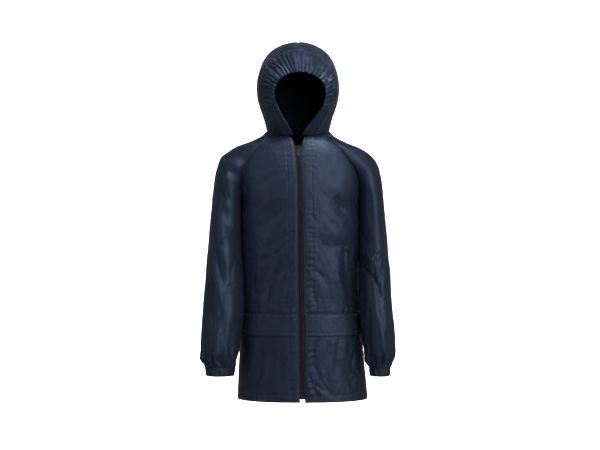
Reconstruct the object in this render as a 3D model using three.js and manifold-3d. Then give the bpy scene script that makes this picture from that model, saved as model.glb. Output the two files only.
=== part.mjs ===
// Hooded raincoat for a child of 7 to 8, filled out as if worn, with nobody in it.
// Millimetres, +Z up. The coat faces -Y. Left and right are the wearer's, so left is +X.
// The origin is the middle of the neck, where the shoulders below it carry the coat.
import * as THREE from "three";
import { mergeVertices } from "three/addons/utils/BufferGeometryUtils.js";
import Module from "manifold-3d";

const wasm = await Module();
wasm.setup();

// Cloth and seams
const WALL = 1.6;
const BAND_WALL = 1.5;
const TAPE_WALL = 1;
const SEAM_GAP = 0.34;
const LAYER_GAP = 0.4;
const LEFT = 1;
const RIGHT = -1;

// Neck ring, by direction from the middle of the front
const NECK = { halfWidth: 66, front: 66, back: 58, frontHeight: 3, backHeight: 34 };
const FACE_SEAM_ANGLE = THREE.MathUtils.degToRad(35);
const FRONT_SEAM_ANGLE = THREE.MathUtils.degToRad(50);
const BACK_SEAM_ANGLE = THREE.MathUtils.degToRad(125);

// The body below the arms: half of its width, its depth to the front and back, and its lean
const HEM = -540;
const UNDERARM = -168;
const FLAP_TOP = -361;
const FLAP_BOTTOM = -405;
const BODY = [
  { z: -540, halfWidth: 137, front: 100, back: 99, lean: 9.5 },
  { z: -450, halfWidth: 130, front: 99, back: 96, lean: 7.6 },
  { z: -360, halfWidth: 124, front: 96, back: 92, lean: 6 },
  { z: -260, halfWidth: 123, front: 95, back: 91, lean: 5 },
  { z: -168, halfWidth: 124, front: 95, back: 94, lean: 4.3 },
  { z: -110, halfWidth: 126, front: 92, back: 95, lean: 4 },
  { z: -60, halfWidth: 120, front: 84, back: 88, lean: 2.5 },
  { z: -20, halfWidth: 96, front: 73, back: 78, lean: 0.8 },
  { z: 3, halfWidth: 70, front: 66, back: 68, lean: 0 },
  { z: 34, halfWidth: 60, front: 60, back: 58, lean: 0 },
];
const SKIRT_HEIGHTS = [HEM, -518, -490, -460, -432];
const CHEST_HEIGHTS = [-336, -310, -280, -250, -222, -195];
const BODY_HEIGHTS = [...SKIRT_HEIGHTS, FLAP_BOTTOM, -383, FLAP_TOP, ...CHEST_HEIGHTS];
const BODY_SQUARENESS = 2.4;
const NECK_SQUARENESS = 2;

// The raglan seams and the top of the shoulder between them, from the underarm to the neck
const RAGLAN = [
  { frontX: 124, frontY: 0, frontZ: -168, backX: 124, backY: 0, backZ: -168, topX: 184, topZ: -170 },
  { frontX: 122, frontY: -17, frontZ: -134, backX: 124, backY: 18, backZ: -134, topX: 181, topZ: -137 },
  { frontX: 123, frontY: -30, frontZ: -105, backX: 124, backY: 33, backZ: -105, topX: 178.5, topZ: -104 },
  { frontX: 120, frontY: -42, frontZ: -78, backX: 120, backY: 45, backZ: -80, topX: 174, topZ: -72 },
  { frontX: 113, frontY: -49, frontZ: -59, backX: 114, backY: 51, backZ: -61, topX: 168, topZ: -50 },
  { frontX: 105, frontY: -53, frontZ: -48, backX: 107, backY: 55, backZ: -48, topX: 160, topZ: -36 },
  { frontX: 97, frontY: -56, frontZ: -36, backX: 99, backY: 56, backZ: -34, topX: 147, topZ: -24 },
  { frontX: 88, frontY: -56, frontZ: -23, backX: 90, backY: 54, backZ: -17, topX: 130, topZ: -14 },
  { frontX: 77, frontY: -54, frontZ: -11, backX: 78, backY: 49, backZ: 1, topX: 106, topZ: -5.5 },
  { frontX: 64, frontY: -50, frontZ: -1, backX: 65, backY: 42, backZ: 15, topX: 81, topZ: 5.5 },
];
const LEFT_SHOULDER_DROP = 3.5;
const SHOULDER_ARM = [
  { z: -170, depth: 60, middleY: -8 },
  { z: -104, depth: 58, middleY: -3 },
  { z: -50, depth: 55, middleY: 0 },
  { z: 20, depth: 50, middleY: 0 },
];

// The sleeves below the arms: inner and outer edge, half of the depth, and how far forward they hang
const SLEEVE = [
  { z: -168, inner: 124, outer: 184, depth: 60, middleY: -8 },
  { z: -210, inner: 125.5, outer: 187, depth: 58, middleY: -19 },
  { z: -252, inner: 124.5, outer: 191, depth: 56, middleY: -29 },
  { z: -300, inner: 123, outer: 193, depth: 54, middleY: -38 },
  { z: -360, inner: 123, outer: 197, depth: 52, middleY: -46 },
  { z: -400, inner: 127.5, outer: 200, depth: 50, middleY: -51 },
  { z: -432, inner: 131, outer: 200.5, depth: 47, middleY: -54 },
  { z: -453, inner: 135, outer: 197, depth: 41, middleY: -57 },
  { z: -471, inner: 138, outer: 190.5, depth: 34.5, middleY: -59 },
  { z: -488, inner: 139, outer: 189.5, depth: 33, middleY: -60 },
];
const SLEEVE_HEIGHTS = [-188, -212, -240, -270, -300, -330, -360, -388, -412];
const CUFF_HEIGHTS = [-432, -443, -453, -462, -471, -477, -488];
const CUFF_GATHERS = 22;
const CUFF_GATHER_DEPTH = [
  { z: -488, depth: 1.5 },
  { z: -475, depth: 1.7 },
  { z: -471, depth: 2.1 },
  { z: -457, depth: 2.3 },
  { z: -443, depth: 1.1 },
  { z: -432, depth: 0 },
];

// The hood, in rows from the neck to the top of the brow: the seam to the face band, the seam
// down the back, the half width between them, and the edge of the face opening
const HOOD = [
  { faceX: 47, faceY: -56, faceZ: 20, backY: 72, backZ: 52, wide: 69, rimX: 20, rimY: -75, rimZ: 18 },
  { faceX: 57, faceY: -55, faceZ: 38, backY: 86, backZ: 72, wide: 75.5, rimX: 29, rimY: -80, rimZ: 32 },
  { faceX: 67, faceY: -52, faceZ: 56, backY: 96, backZ: 92, wide: 81, rimX: 38, rimY: -84, rimZ: 46 },
  { faceX: 75, faceY: -48, faceZ: 76, backY: 102, backZ: 114, wide: 86, rimX: 46, rimY: -88, rimZ: 61 },
  { faceX: 80, faceY: -45, faceZ: 96, backY: 104, backZ: 136, wide: 87.5, rimX: 52, rimY: -91, rimZ: 76 },
  { faceX: 82, faceY: -44, faceZ: 114, backY: 100, backZ: 158, wide: 85.5, rimX: 54, rimY: -94, rimZ: 91 },
  { faceX: 79, faceY: -46, faceZ: 132, backY: 88, backZ: 178, wide: 80, rimX: 51, rimY: -96, rimZ: 105 },
  { faceX: 70, faceY: -50, faceZ: 148, backY: 66, backZ: 194, wide: 71.5, rimX: 44, rimY: -98, rimZ: 116 },
  { faceX: 58, faceY: -55, faceZ: 161, backY: 38, backZ: 203, wide: 59.5, rimX: 34, rimY: -100, rimZ: 124 },
  { faceX: 42, faceY: -60, faceZ: 171, backY: 8, backZ: 206, wide: 43.5, rimX: 23, rimY: -101, rimZ: 129 },
  { faceX: 23, faceY: -65, faceZ: 179, backY: -24, backZ: 202, wide: 24, rimX: 12, rimY: -102, rimZ: 132.5 },
  { faceX: 0, faceY: -68, faceZ: 183, backY: -68, backZ: 183, wide: 0, rimX: 0, rimY: -102, rimZ: 133.5 },
];
const CHIN = { rimX: 13.5, rimY: -68, rimZ: 5.5 };
const HOOD_SQUARENESS = 2.2;
const HOOD_WIDEST = 0.4;
const HOOD_COLUMNS = 12;
const OPENING_LEAN = 4.5;
const BAND_PUFF = 7;
const BAND_STEPS = 5;
const BAND_GATHERS = 40;
const BAND_GATHER_DEPTH = 2.1;
const BAND_GATHER_START = 3;

// Fronts, zip and flaps
const FRONT_COLUMNS = 12;
const BACK_COLUMNS = 20;
const ARM_COLUMNS = 18;
const ZIP_TOP = -15;
const ZIP_BOTTOM = -532;
const FRONT_EDGE = [
  { z: -540, away: 4.5 },
  { z: -526, away: 6.3 },
  { z: -300, away: 6.5 },
  { z: -22, away: 6.5 },
  { z: -8, away: 9 },
  { z: 3, away: 14 },
];
const CHAIN = { halfWidth: 2.2, sunk: 0.5, thick: 2.4 };
const TAPE = { inner: 2.6, outer: 11 };
const FLAP = { fromZip: 2.5, lift: 1.1 };
const ZIP_BOX = { width: 8, height: 9, thick: 4.2 };
const SLIDER = { width: 9.6, height: 13, face: 1.2, underFace: -1.5, overBack: -3.5, back: -4.7, post: 2 };
const BRIDGE = { width: 2.6, inside: 1.3, outside: 2.3, above: 1.6 };
const TAB = { width: 6.4, length: 17, thick: 1.2, bar: 1.4, window: 3.9, windowEnd: 3.1 };
const SLIDER_TOP = -15;

// The largest folds, as seen from the front or the back. A depth below nought is a ridge.
const FOLDS = [
  { side: "front", x1: -26, z1: -204, x2: -70, z2: -250, width: 15, depth: 6 },
  { side: "front", x1: -34, z1: -140, x2: -74, z2: -178, width: 15, depth: 4.5 },
  { side: "front", x1: -30, z1: -250, x2: -86, z2: -336, width: 16, depth: 6 },
  { side: "front", x1: -50, z1: -215, x2: -96, z2: -290, width: 16, depth: -3.5 },
  { side: "front", x1: 71, z1: -122, x2: 104, z2: -160, width: 15, depth: 5.5 },
  { side: "front", x1: 42, z1: -208, x2: 100, z2: -236, width: 15, depth: 4.5 },
  { side: "front", x1: 96, z1: -222, x2: 116, z2: -350, width: 15, depth: 6 },
  { side: "front", x1: 80, z1: -250, x2: 96, z2: -350, width: 15, depth: -3.5 },
  { side: "front", x1: 92, z1: -470, x2: 136, z2: -530, width: 15, depth: 4.5 },
  { side: "front", x1: -60, z1: -440, x2: -110, z2: -530, width: 16, depth: 4 },
  { side: "back", x1: -70, z1: -150, x2: -20, z2: -215, width: 17, depth: 6 },
  { side: "back", x1: 78, z1: -165, x2: 30, z2: -250, width: 17, depth: 5.5 },
  { side: "back", x1: -60, z1: -330, x2: 20, z2: -372, width: 17, depth: 5.5 },
  { side: "back", x1: 84, z1: -300, x2: 36, z2: -400, width: 17, depth: 4.5 },
  { side: "back", x1: -30, z1: -430, x2: -64, z2: -530, width: 17, depth: 4.5 },
  { side: "front", x1: -172, z1: -84, x2: -133, z2: -205, width: 14, depth: 8 },
  { side: "front", x1: -182, z1: -218, x2: -138, z2: -309, width: 15, depth: 6 },
  { side: "front", x1: -146, z1: -330, x2: -182, z2: -400, width: 15, depth: 4.5 },
  { side: "front", x1: 184, z1: -236, x2: 150, z2: -288, width: 14, depth: 7 },
  { side: "front", x1: 134, z1: -262, x2: 176, z2: -344, width: 15, depth: 6 },
  { side: "front", x1: 146, z1: -110, x2: 158, z2: -200, width: 14, depth: 5.5 },
  { side: "back", x1: 178, z1: -250, x2: 146, z2: -305, width: 15, depth: 6 },
  { side: "back", x1: -180, z1: -262, x2: -144, z2: -330, width: 15, depth: 6 },
  { side: "back", x1: 150, z1: -90, x2: 164, z2: -190, width: 15, depth: 5.5 },
];
const FOLD_FADE = 20;

const NAVY = { color: "#232b3b", roughness: 0.42, metalness: 0 };
const BLACK_TAPE = { color: "#0f1115", roughness: 0.8, metalness: 0 };
const BLACK_PLASTIC = { color: "#14161b", roughness: 0.45, metalness: 0 };
const DARK_METAL = { color: "#3a3d43", roughness: 0.4, metalness: 0.8 };

// A smooth value of one column of a table, at a place along its key column
function smooth(table, key, name, at) {
  const rows = [...table].sort((a, b) => a[key] - b[key]);
  const last = rows.length - 1;
  const place = THREE.MathUtils.clamp(at, rows[0][key], rows[last][key]);
  let i = 0;
  while (i < last - 1 && rows[i + 1][key] < place) i += 1;
  const slope = (k) => {
    const low = rows[Math.max(0, k - 1)];
    const high = rows[Math.min(last, k + 1)];
    return (high[name] - low[name]) / (high[key] - low[key]);
  };
  const span = rows[i + 1][key] - rows[i][key];
  const t = (place - rows[i][key]) / span;
  const rise = 3 * t * t - 2 * t * t * t;
  const start = t * (1 - t) * (1 - t) * span * slope(i);
  const end = t * t * (t - 1) * span * slope(i + 1);
  return rows[i][name] * (1 - rise) + rows[i + 1][name] * rise + start + end;
}

const body = (name, z) => smooth(BODY, "z", name, z);

// Distance from the middle of an oval to its edge, in one direction
function ovalReach(direction, halfWidth, depth, squareness) {
  const across = Math.abs(Math.sin(direction) / halfWidth) ** squareness;
  const along = Math.abs(Math.cos(direction) / depth) ** squareness;
  return (across + along) ** (-1 / squareness);
}

// A point of the neck ring. The direction is 0 at the middle of the front and half a turn at the back.
function neckPoint(direction, side) {
  const depth = Math.cos(direction) > 0 ? NECK.front : NECK.back;
  const reach = ovalReach(direction, NECK.halfWidth, depth, NECK_SQUARENESS);
  const rise = (1 - Math.cos(direction)) / 2;
  const height = NECK.frontHeight + (NECK.backHeight - NECK.frontHeight) * rise;
  return new THREE.Vector3(side * reach * Math.sin(direction), -reach * Math.cos(direction), height);
}

// How far the folds push a point of the surface in
function foldDepth(point, fade) {
  const side = point.facing;
  let depth = 0;
  for (const fold of FOLDS) {
    if (fold.side !== side) continue;
    const alongX = fold.x2 - fold.x1;
    const alongZ = fold.z2 - fold.z1;
    const lengthSquared = alongX * alongX + alongZ * alongZ;
    const share = ((point.x - fold.x1) * alongX + (point.z - fold.z1) * alongZ) / lengthSquared;
    const t = THREE.MathUtils.clamp(share, 0, 1);
    const away = Math.hypot(point.x - fold.x1 - t * alongX, point.z - fold.z1 - t * alongZ);
    depth += fold.depth * Math.exp(-((away / fold.width) ** 2)) * Math.sin(Math.PI * (0.12 + 0.76 * t));
  }
  return depth * fade;
}

// A row of a cloth piece: its points, and whether it closes into a ring
function makeRow(points, closed = false) {
  return { points, closed };
}

// The place of a point along its row, from 0 to 1
function placeInRow(row, index) {
  return index / (row.closed ? row.points.length : row.points.length - 1);
}

// The point of a row at a place from 0 to 1
function pointAt(row, place) {
  const count = row.points.length;
  const steps = row.closed ? count : count - 1;
  const at = THREE.MathUtils.clamp(place, 0, 1) * steps;
  const low = Math.min(Math.floor(at), steps - 1);
  return row.points[low].clone().lerp(row.points[(low + 1) % count], at - low);
}

// The outward direction at each point of each row
function outwardDirections(rows, turned) {
  return rows.map((row, i) => {
    const count = row.points.length;
    const below = rows[Math.max(0, i - 1)];
    const above = rows[Math.min(rows.length - 1, i + 1)];
    return row.points.map((point, j) => {
      const place = placeInRow(row, j);
      const before = row.closed ? (j + count - 1) % count : Math.max(0, j - 1);
      const after = row.closed ? (j + 1) % count : Math.min(count - 1, j + 1);
      const across = row.points[after].clone().sub(row.points[before]);
      const along = pointAt(above, place).sub(pointAt(below, place));
      const outward = across.cross(along).normalize();
      return turned ? outward.negate() : outward;
    });
  });
}

// A closed cloth wall. Its outer points are given, and its inner points lie one wall deeper.
function clothSolid(rows, outward, wall) {
  const positions = [];
  const triangles = [];
  const outer = [];
  const inner = [];
  rows.forEach((row, i) => {
    outer.push(row.points.map((point) => positions.push(point) - 1));
    const deeper = row.points.map((point, j) => point.clone().addScaledVector(outward[i][j], -wall));
    inner.push(deeper.map((point) => positions.push(point) - 1));
  });
  const face = (a, b, c) => triangles.push([a, b, c]);
  const quad = (a, b, c, d) => {
    face(a, b, c);
    face(a, c, d);
  };
  const strip = (low, high, i, turned) => {
    const lowRow = rows[i];
    const highRow = rows[i + 1];
    const lowSteps = lowRow.closed ? low.length : low.length - 1;
    const highSteps = highRow.closed ? high.length : high.length - 1;
    let a = 0;
    let b = 0;
    while (a < lowSteps || b < highSteps) {
      const lowNext = a < lowSteps ? (a + 1) / lowSteps : 2;
      const highNext = b < highSteps ? (b + 1) / highSteps : 2;
      const first = low[a % low.length];
      const second = high[b % high.length];
      const forward = lowNext <= highNext ? low[(a + 1) % low.length] : high[(b + 1) % high.length];
      if (turned) face(first, second, forward);
      else face(first, forward, second);
      if (lowNext <= highNext) a += 1;
      else b += 1;
    }
  };
  for (let i = 0; i < rows.length - 1; i += 1) {
    strip(outer[i], outer[i + 1], i, false);
    strip(inner[i], inner[i + 1], i, true);
    if (rows[i].closed && rows[i + 1].closed) continue;
    const low = rows[i].closed ? 0 : rows[i].points.length - 1;
    const high = rows[i + 1].closed ? 0 : rows[i + 1].points.length - 1;
    quad(outer[i][0], outer[i + 1][0], inner[i + 1][0], inner[i][0]);
    quad(outer[i][low], inner[i][low], inner[i + 1][high], outer[i + 1][high]);
  }
  [0, rows.length - 1].forEach((i) => {
    const count = rows[i].points.length;
    const steps = rows[i].closed ? count : count - 1;
    for (let j = 0; j < steps; j += 1) {
      const next = (j + 1) % count;
      if (i === 0) quad(outer[i][j], inner[i][j], inner[i][next], outer[i][next]);
      else quad(outer[i][j], outer[i][next], inner[i][next], inner[i][j]);
    }
  });
  return closedGeometry(positions, triangles);
}

// A geometry of triangles that share vertices, with no face shrunk to a line and all faces outwards
function closedGeometry(positions, triangles) {
  const flat = triangles.flat().flatMap((index) => positions[index].toArray());
  const geometry = new THREE.BufferGeometry();
  geometry.setAttribute("position", new THREE.Float32BufferAttribute(flat, 3));
  const merged = mergeVertices(geometry, 1e-3);
  const index = [];
  let volume = 0;
  const corner = (k) => new THREE.Vector3().fromBufferAttribute(merged.attributes.position, k);
  for (let k = 0; k < merged.index.count; k += 3) {
    const [a, b, c] = [0, 1, 2].map((step) => merged.index.getX(k + step));
    if (a === b || b === c || a === c) continue;
    index.push([a, b, c]);
    volume += corner(a).dot(corner(b).cross(corner(c)));
  }
  merged.setIndex(index.flatMap(([a, b, c]) => (volume < 0 ? [a, c, b] : [a, b, c])));
  merged.computeVertexNormals();
  return merged;
}

// Moves the end points of a row away from the seams there
function insetEnds(points, start, end) {
  const last = points.length - 1;
  const first = points[1].clone().sub(points[0]).normalize();
  const final = points[last - 1].clone().sub(points[last]).normalize();
  points[0].addScaledVector(first, start);
  points[last].addScaledVector(final, end);
}

// The front and back raglan seams of a side, each from the underarm to the neck
function raglanRow(index, side) {
  const row = RAGLAN[index];
  const lean = (z) => side * body("lean", z);
  const at = (x, y, z) => new THREE.Vector3(side * (x + lean(z)), y, z);
  const drop = side === LEFT ? LEFT_SHOULDER_DROP * Math.sin((Math.PI * index) / RAGLAN.length) : 0;
  return {
    front: at(row.frontX, row.frontY, row.frontZ),
    back: at(row.backX, row.backY, row.backZ),
    top: new THREE.Vector3(side * row.topX, 0, row.topZ - drop),
  };
}

// Half a body section, from the middle of the front or back out to a seam point
function bodyArc(side, facing, middleZ, seam, start, columns, share) {
  const lean = body("lean", seam.z);
  const depth = body(facing, middleZ);
  const squareness = THREE.MathUtils.lerp(BODY_SQUARENESS, NECK_SQUARENESS, share);
  const reachX = side * (seam.x - lean);
  const reachY = Math.min(Math.abs(seam.y) / depth, 0.98);
  const halfWidth = reachX / (1 - reachY ** squareness) ** (1 / squareness);
  const seamDirection = Math.atan2(reachX, Math.abs(seam.y));
  const startDirection = Math.atan2(start, depth);
  const points = [];
  for (let j = 0; j <= columns; j += 1) {
    const direction = THREE.MathUtils.lerp(startDirection, seamDirection, j / columns);
    const reach = ovalReach(direction, halfWidth, depth, squareness);
    const rise = (1 - Math.cos(direction)) / (1 - Math.cos(seamDirection));
    const z = THREE.MathUtils.lerp(middleZ, seam.z, rise);
    const y = reach * Math.cos(direction);
    const x = side * (reach * Math.sin(direction)) + body("lean", z);
    points.push(new THREE.Vector3(x, facing === "front" ? -y : y, z));
  }
  return points;
}

// Folds pushed into a piece, fading out towards its edges
function pressFolds(rows, outward, facingOf) {
  rows.forEach((row, i) => {
    const last = row.points.length - 1;
    const ends = Math.min(i, rows.length - 1 - i);
    row.points.forEach((point, j) => {
      const toStart = point.distanceTo(row.points[0]);
      const toEnd = point.distanceTo(row.points[last]);
      const fromSeam = row.closed ? FOLD_FADE : Math.min(toStart, toEnd, FOLD_FADE);
      const fade = (fromSeam / FOLD_FADE) * Math.min(1, ends);
      const place = { x: point.x, z: point.z, facing: facingOf(point, row) };
      point.addScaledVector(outward[i][j], -foldDepth(place, fade));
    });
  });
}

// The rows of a front: below the arm to the side seam, above it to the raglan seam
function frontRows(side) {
  const rows = [];
  for (const z of BODY_HEIGHTS) {
    const seam = new THREE.Vector3(side * body("halfWidth", z) + body("lean", z), 0, z);
    rows.push(bodyArc(side, "front", z, seam, smooth(FRONT_EDGE, "z", "away", z), FRONT_COLUMNS, 0));
  }
  RAGLAN.forEach((_, i) => {
    const share = i / RAGLAN.length;
    const middleZ = THREE.MathUtils.lerp(UNDERARM, NECK.frontHeight, share);
    const away = smooth(FRONT_EDGE, "z", "away", middleZ);
    rows.push(bodyArc(side, "front", middleZ, raglanRow(i, side).front, away, FRONT_COLUMNS, share));
  });
  const start = Math.asin(smooth(FRONT_EDGE, "z", "away", NECK.frontHeight) / NECK.front);
  rows.push(neckRow(start, FRONT_SEAM_ANGLE, side, FRONT_COLUMNS));
  return rows;
}

// Points along the neck ring, between two directions
function neckRow(from, to, side, columns) {
  const points = [];
  for (let j = 0; j <= columns; j += 1) {
    points.push(neckPoint(THREE.MathUtils.lerp(from, to, j / columns), side));
  }
  return points;
}

function makeFront(side) {
  const rows = frontRows(side).map((points) => makeRow(points));
  rows.forEach((row) => insetEnds(row.points, 0, SEAM_GAP / 2));
  const outward = outwardDirections(rows, side === RIGHT);
  pressFolds(rows, outward, () => "front");
  return { rows, outward };
}

// The back, from one side to the other
function makeBack() {
  const halves = [RIGHT, LEFT].map((side) => {
    const rows = BODY_HEIGHTS.map((z) => {
      const seam = new THREE.Vector3(side * body("halfWidth", z) + body("lean", z), 0, z);
      return bodyArc(side, "back", z, seam, 0, BACK_COLUMNS / 2, 0);
    });
    RAGLAN.forEach((_, i) => {
      const share = i / RAGLAN.length;
      const middleZ = THREE.MathUtils.lerp(UNDERARM, NECK.backHeight, share);
      rows.push(bodyArc(side, "back", middleZ, raglanRow(i, side).back, 0, BACK_COLUMNS / 2, share));
    });
    rows.push(neckRow(Math.PI, BACK_SEAM_ANGLE, side, BACK_COLUMNS / 2));
    return rows;
  });
  const rows = halves[0].map((right, i) => makeRow([...right.reverse(), ...halves[1][i].slice(1)]));
  rows.forEach((row) => insetEnds(row.points, SEAM_GAP / 2, SEAM_GAP / 2));
  const outward = outwardDirections(rows, true);
  pressFolds(rows, outward, () => "back");
  return { rows, outward };
}

// An arc of a sleeve from the front seam, over the outer edge, to the back seam
function sleeveArc(front, outer, back, middleY, halfDepth, side, columns) {
  const half = (seam, sign, count) => {
    const depth = Math.max(halfDepth, Math.abs(seam.y - middleY));
    const sine = THREE.MathUtils.clamp((sign * (seam.y - middleY)) / depth, -1, 1);
    const cosine = Math.sqrt(1 - sine * sine);
    const width = (side * (outer.x - seam.x)) / (1 + cosine);
    const points = [];
    for (let j = 0; j <= count; j += 1) {
      const turn = (Math.PI - Math.asin(sine)) * (1 - j / count);
      const out = side * outer.x - width + width * Math.cos(turn);
      const share = (out - side * seam.x) / (side * (outer.x - seam.x));
      const z = THREE.MathUtils.lerp(seam.z, outer.z, share);
      points.push(new THREE.Vector3(side * out, middleY + sign * depth * Math.sin(turn), z));
    }
    return points;
  };
  const toFront = half(front, -1, columns / 2);
  const toBack = half(back, 1, columns / 2);
  return [...toFront, ...toBack.reverse().slice(1)];
}

// A closed ring of a sleeve below the arm, from its inner edge round the front, outer edge and back
function sleeveRing(z, side, columns, seamY) {
  const at = (name) => smooth(SLEEVE, "z", name, z);
  const inner = at("inner") + side * body("lean", z);
  const seam = new THREE.Vector3(side * inner, seamY, z);
  const outer = new THREE.Vector3(side * at("outer"), 0, z);
  return sleeveArc(seam, outer, seam, at("middleY"), at("depth"), side, columns).slice(0, -1);
}

function makeSleeve(side) {
  const rows = [];
  for (const z of [...CUFF_HEIGHTS].reverse()) {
    const columns = CUFF_GATHERS * 2;
    rows.push(makeRow(sleeveRing(z, side, columns, smooth(SLEEVE, "z", "middleY", z)), true));
  }
  const gathered = rows.length;
  for (const z of [...SLEEVE_HEIGHTS].reverse()) {
    const toMiddle = Math.min(1, (UNDERARM - z) / 60);
    const seamY = toMiddle * smooth(SLEEVE, "z", "middleY", z);
    rows.push(makeRow(sleeveRing(z, side, ARM_COLUMNS, seamY), true));
  }
  RAGLAN.forEach((_, i) => {
    const { front, back, top } = raglanRow(i, side);
    const middleY = smooth(SHOULDER_ARM, "z", "middleY", top.z);
    const depth = smooth(SHOULDER_ARM, "z", "depth", top.z);
    const points = sleeveArc(front, top, back, middleY, depth, side, ARM_COLUMNS);
    rows.push(i === 0 ? makeRow(points.slice(0, -1), true) : makeRow(points));
  });
  rows.push(makeRow(neckRow(FRONT_SEAM_ANGLE, BACK_SEAM_ANGLE, side, ARM_COLUMNS)));
  rows.forEach((row) => {
    if (!row.closed) insetEnds(row.points, SEAM_GAP / 2, SEAM_GAP / 2);
  });
  const firstRaglan = gathered + SLEEVE_HEIGHTS.length;
  rows[firstRaglan].points[0].x += side * SEAM_GAP;
  const outward = outwardDirections(rows, side === RIGHT);
  pressFolds(rows, outward, (point, row) => (point.y < pointAt(row, 0.5).y ? "front" : "back"));
  rows.slice(0, gathered).forEach((row, i) => {
    row.points.forEach((point, j) => {
      const depth = smooth(CUFF_GATHER_DEPTH, "z", "depth", point.z);
      point.addScaledVector(outward[i][j], j % 2 === 0 ? depth / 2 : -depth / 2);
    });
  });
  return { rows, outward };
}

// The seam and edge points of a hood row, the neck ring being row 0
function hoodRow(index, side) {
  if (index === 0) {
    const face = neckPoint(FACE_SEAM_ANGLE, side);
    const open = new THREE.Vector3(side * CHIN.rimX, CHIN.rimY, CHIN.rimZ);
    return { face, back: neckPoint(Math.PI, side), open };
  }
  const row = HOOD[index - 1];
  const lean = OPENING_LEAN * Math.min(1, (index - 1) / 3);
  return {
    face: new THREE.Vector3(side * row.faceX, row.faceY, row.faceZ),
    back: new THREE.Vector3(0, row.backY, row.backZ),
    open: new THREE.Vector3(side * row.rimX + lean, row.rimY, row.rimZ),
  };
}

function makeHoodHalf(side) {
  const rows = [];
  for (let i = 0; i < HOOD.length; i += 1) {
    const { face, back } = hoodRow(i, side);
    const points = [];
    if (i === 0) {
      points.push(...neckRow(FACE_SEAM_ANGLE, Math.PI, side, HOOD_COLUMNS));
      points.forEach((point) => {
        point.z += SEAM_GAP;
      });
    } else {
      const wide = HOOD[i - 1].wide;
      const frontColumns = HOOD_COLUMNS / 3;
      for (let j = 0; j <= HOOD_COLUMNS; j += 1) {
        const ahead = 1 - j / frontColumns;
        const turn = ((j - frontColumns) / (HOOD_COLUMNS - frontColumns)) * (Math.PI / 2);
        const isAhead = j < frontColumns;
        const share = isAhead
          ? (HOOD_WIDEST * j) / frontColumns
          : HOOD_WIDEST + (1 - HOOD_WIDEST) * Math.sin(turn) ** (2 / HOOD_SQUARENESS);
        const x = isAhead
          ? wide - (wide - side * face.x) * ahead ** 2
          : wide * Math.max(0, Math.cos(turn)) ** (2 / HOOD_SQUARENESS);
        const along = face.clone().lerp(back, share);
        points.push(new THREE.Vector3(side * x, along.y, along.z));
      }
    }
    insetEnds(points, SEAM_GAP / 2, 0);
    points[HOOD_COLUMNS].x = (side * SEAM_GAP) / 2;
    rows.push(makeRow(points));
  }
  const tip = hoodRow(HOOD.length, side).face;
  const last = rows[rows.length - 1];
  tip.add(new THREE.Vector3((side * SEAM_GAP) / 2, SEAM_GAP, 0));
  const tipPoints = last.points.map(() => tip.clone());
  rows.push(makeRow(tipPoints));
  const outward = outwardDirections(rows, side === RIGHT);
  outward.forEach((row, i) => {
    row[HOOD_COLUMNS].x = 0;
    row[HOOD_COLUMNS].normalize();
    if (i === rows.length - 1) row.forEach((direction) => direction.set(0, -0.35, 0.94).normalize());
  });
  return { rows, outward };
}

// The face band, from the left chin over the brow to the right chin
function makeBand() {
  const sideStations = (side) => {
    const stations = [];
    for (let i = 0; i <= HOOD.length; i += 1) {
      const { face, open } = hoodRow(i, side);
      stations.push({ face, open, level: i });
    }
    return stations;
  };
  const left = sideStations(LEFT);
  const right = sideStations(RIGHT).slice(0, -1).reverse();
  const stations = [...left, ...right];
  stations[0].face.z += SEAM_GAP;
  stations[stations.length - 1].face.z += SEAM_GAP;
  const columns = [];
  stations.forEach((station, i) => {
    columns.push(station);
    const next = stations[i + 1];
    if (!next) return;
    const gathered = Math.max(station.level, next.level) > BAND_GATHER_START;
    const gathersHere = BAND_GATHERS / (2 * (HOOD.length - BAND_GATHER_START));
    const extra = gathered ? Math.round(gathersHere * 2) - 1 : 0;
    for (let k = 1; k <= extra; k += 1) {
      const t = k / (extra + 1);
      columns.push({
        face: station.face.clone().lerp(next.face, t),
        open: station.open.clone().lerp(next.open, t),
        level: THREE.MathUtils.lerp(station.level, next.level, t),
      });
    }
  });
  const rows = [];
  for (let c = 0; c <= BAND_STEPS; c += 1) {
    const share = c / BAND_STEPS;
    rows.push(makeRow(columns.map((column) => column.face.clone().lerp(column.open, share))));
  }
  const flat = outwardDirections(rows, false);
  rows.forEach((row, c) => {
    const share = c / BAND_STEPS;
    row.points.forEach((point, j) => {
      const high = Math.min(1, columns[j].level / 4);
      point.addScaledVector(flat[c][j], BAND_PUFF * (0.35 + 0.65 * high) * Math.sin(Math.PI * share * 0.96));
    });
    if (c === 0) {
      row.points.forEach((point, j) => {
        const away = columns[j].open.clone().sub(point).normalize();
        point.addScaledVector(away, SEAM_GAP / 2);
      });
    }
  });
  const outward = outwardDirections(rows, false);
  rows.forEach((row, c) => {
    const across = Math.min(1, c / 2);
    row.points.forEach((point, j) => {
      const high = THREE.MathUtils.clamp((columns[j].level - BAND_GATHER_START) / 1.5, 0, 1);
      const depth = BAND_GATHER_DEPTH * across * high;
      point.addScaledVector(outward[c][j], j % 2 === 0 ? depth / 2 : -depth / 2);
    });
  });
  return { rows, outward };
}

// A patch that lies on a front panel, made from the panel's own points, moved out
function makeFlap(front) {
  const picked = [];
  const directions = [];
  front.rows.forEach((row, i) => {
    const z = row.points[0].z;
    if (z > FLAP_TOP + 1 || z < FLAP_BOTTOM - 1) return;
    const hanging = (FLAP_TOP - z) / (FLAP_TOP - FLAP_BOTTOM);
    const lift = LAYER_GAP + WALL + FLAP.lift * hanging;
    const outward = front.outward[i];
    const points = row.points.map((point, j) => point.clone().addScaledVector(outward[j], lift));
    insetEnds(points, FLAP.fromZip, 0);
    picked.push(makeRow(points));
    directions.push(outward);
  });
  return { rows: picked, outward: directions };
}

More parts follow.
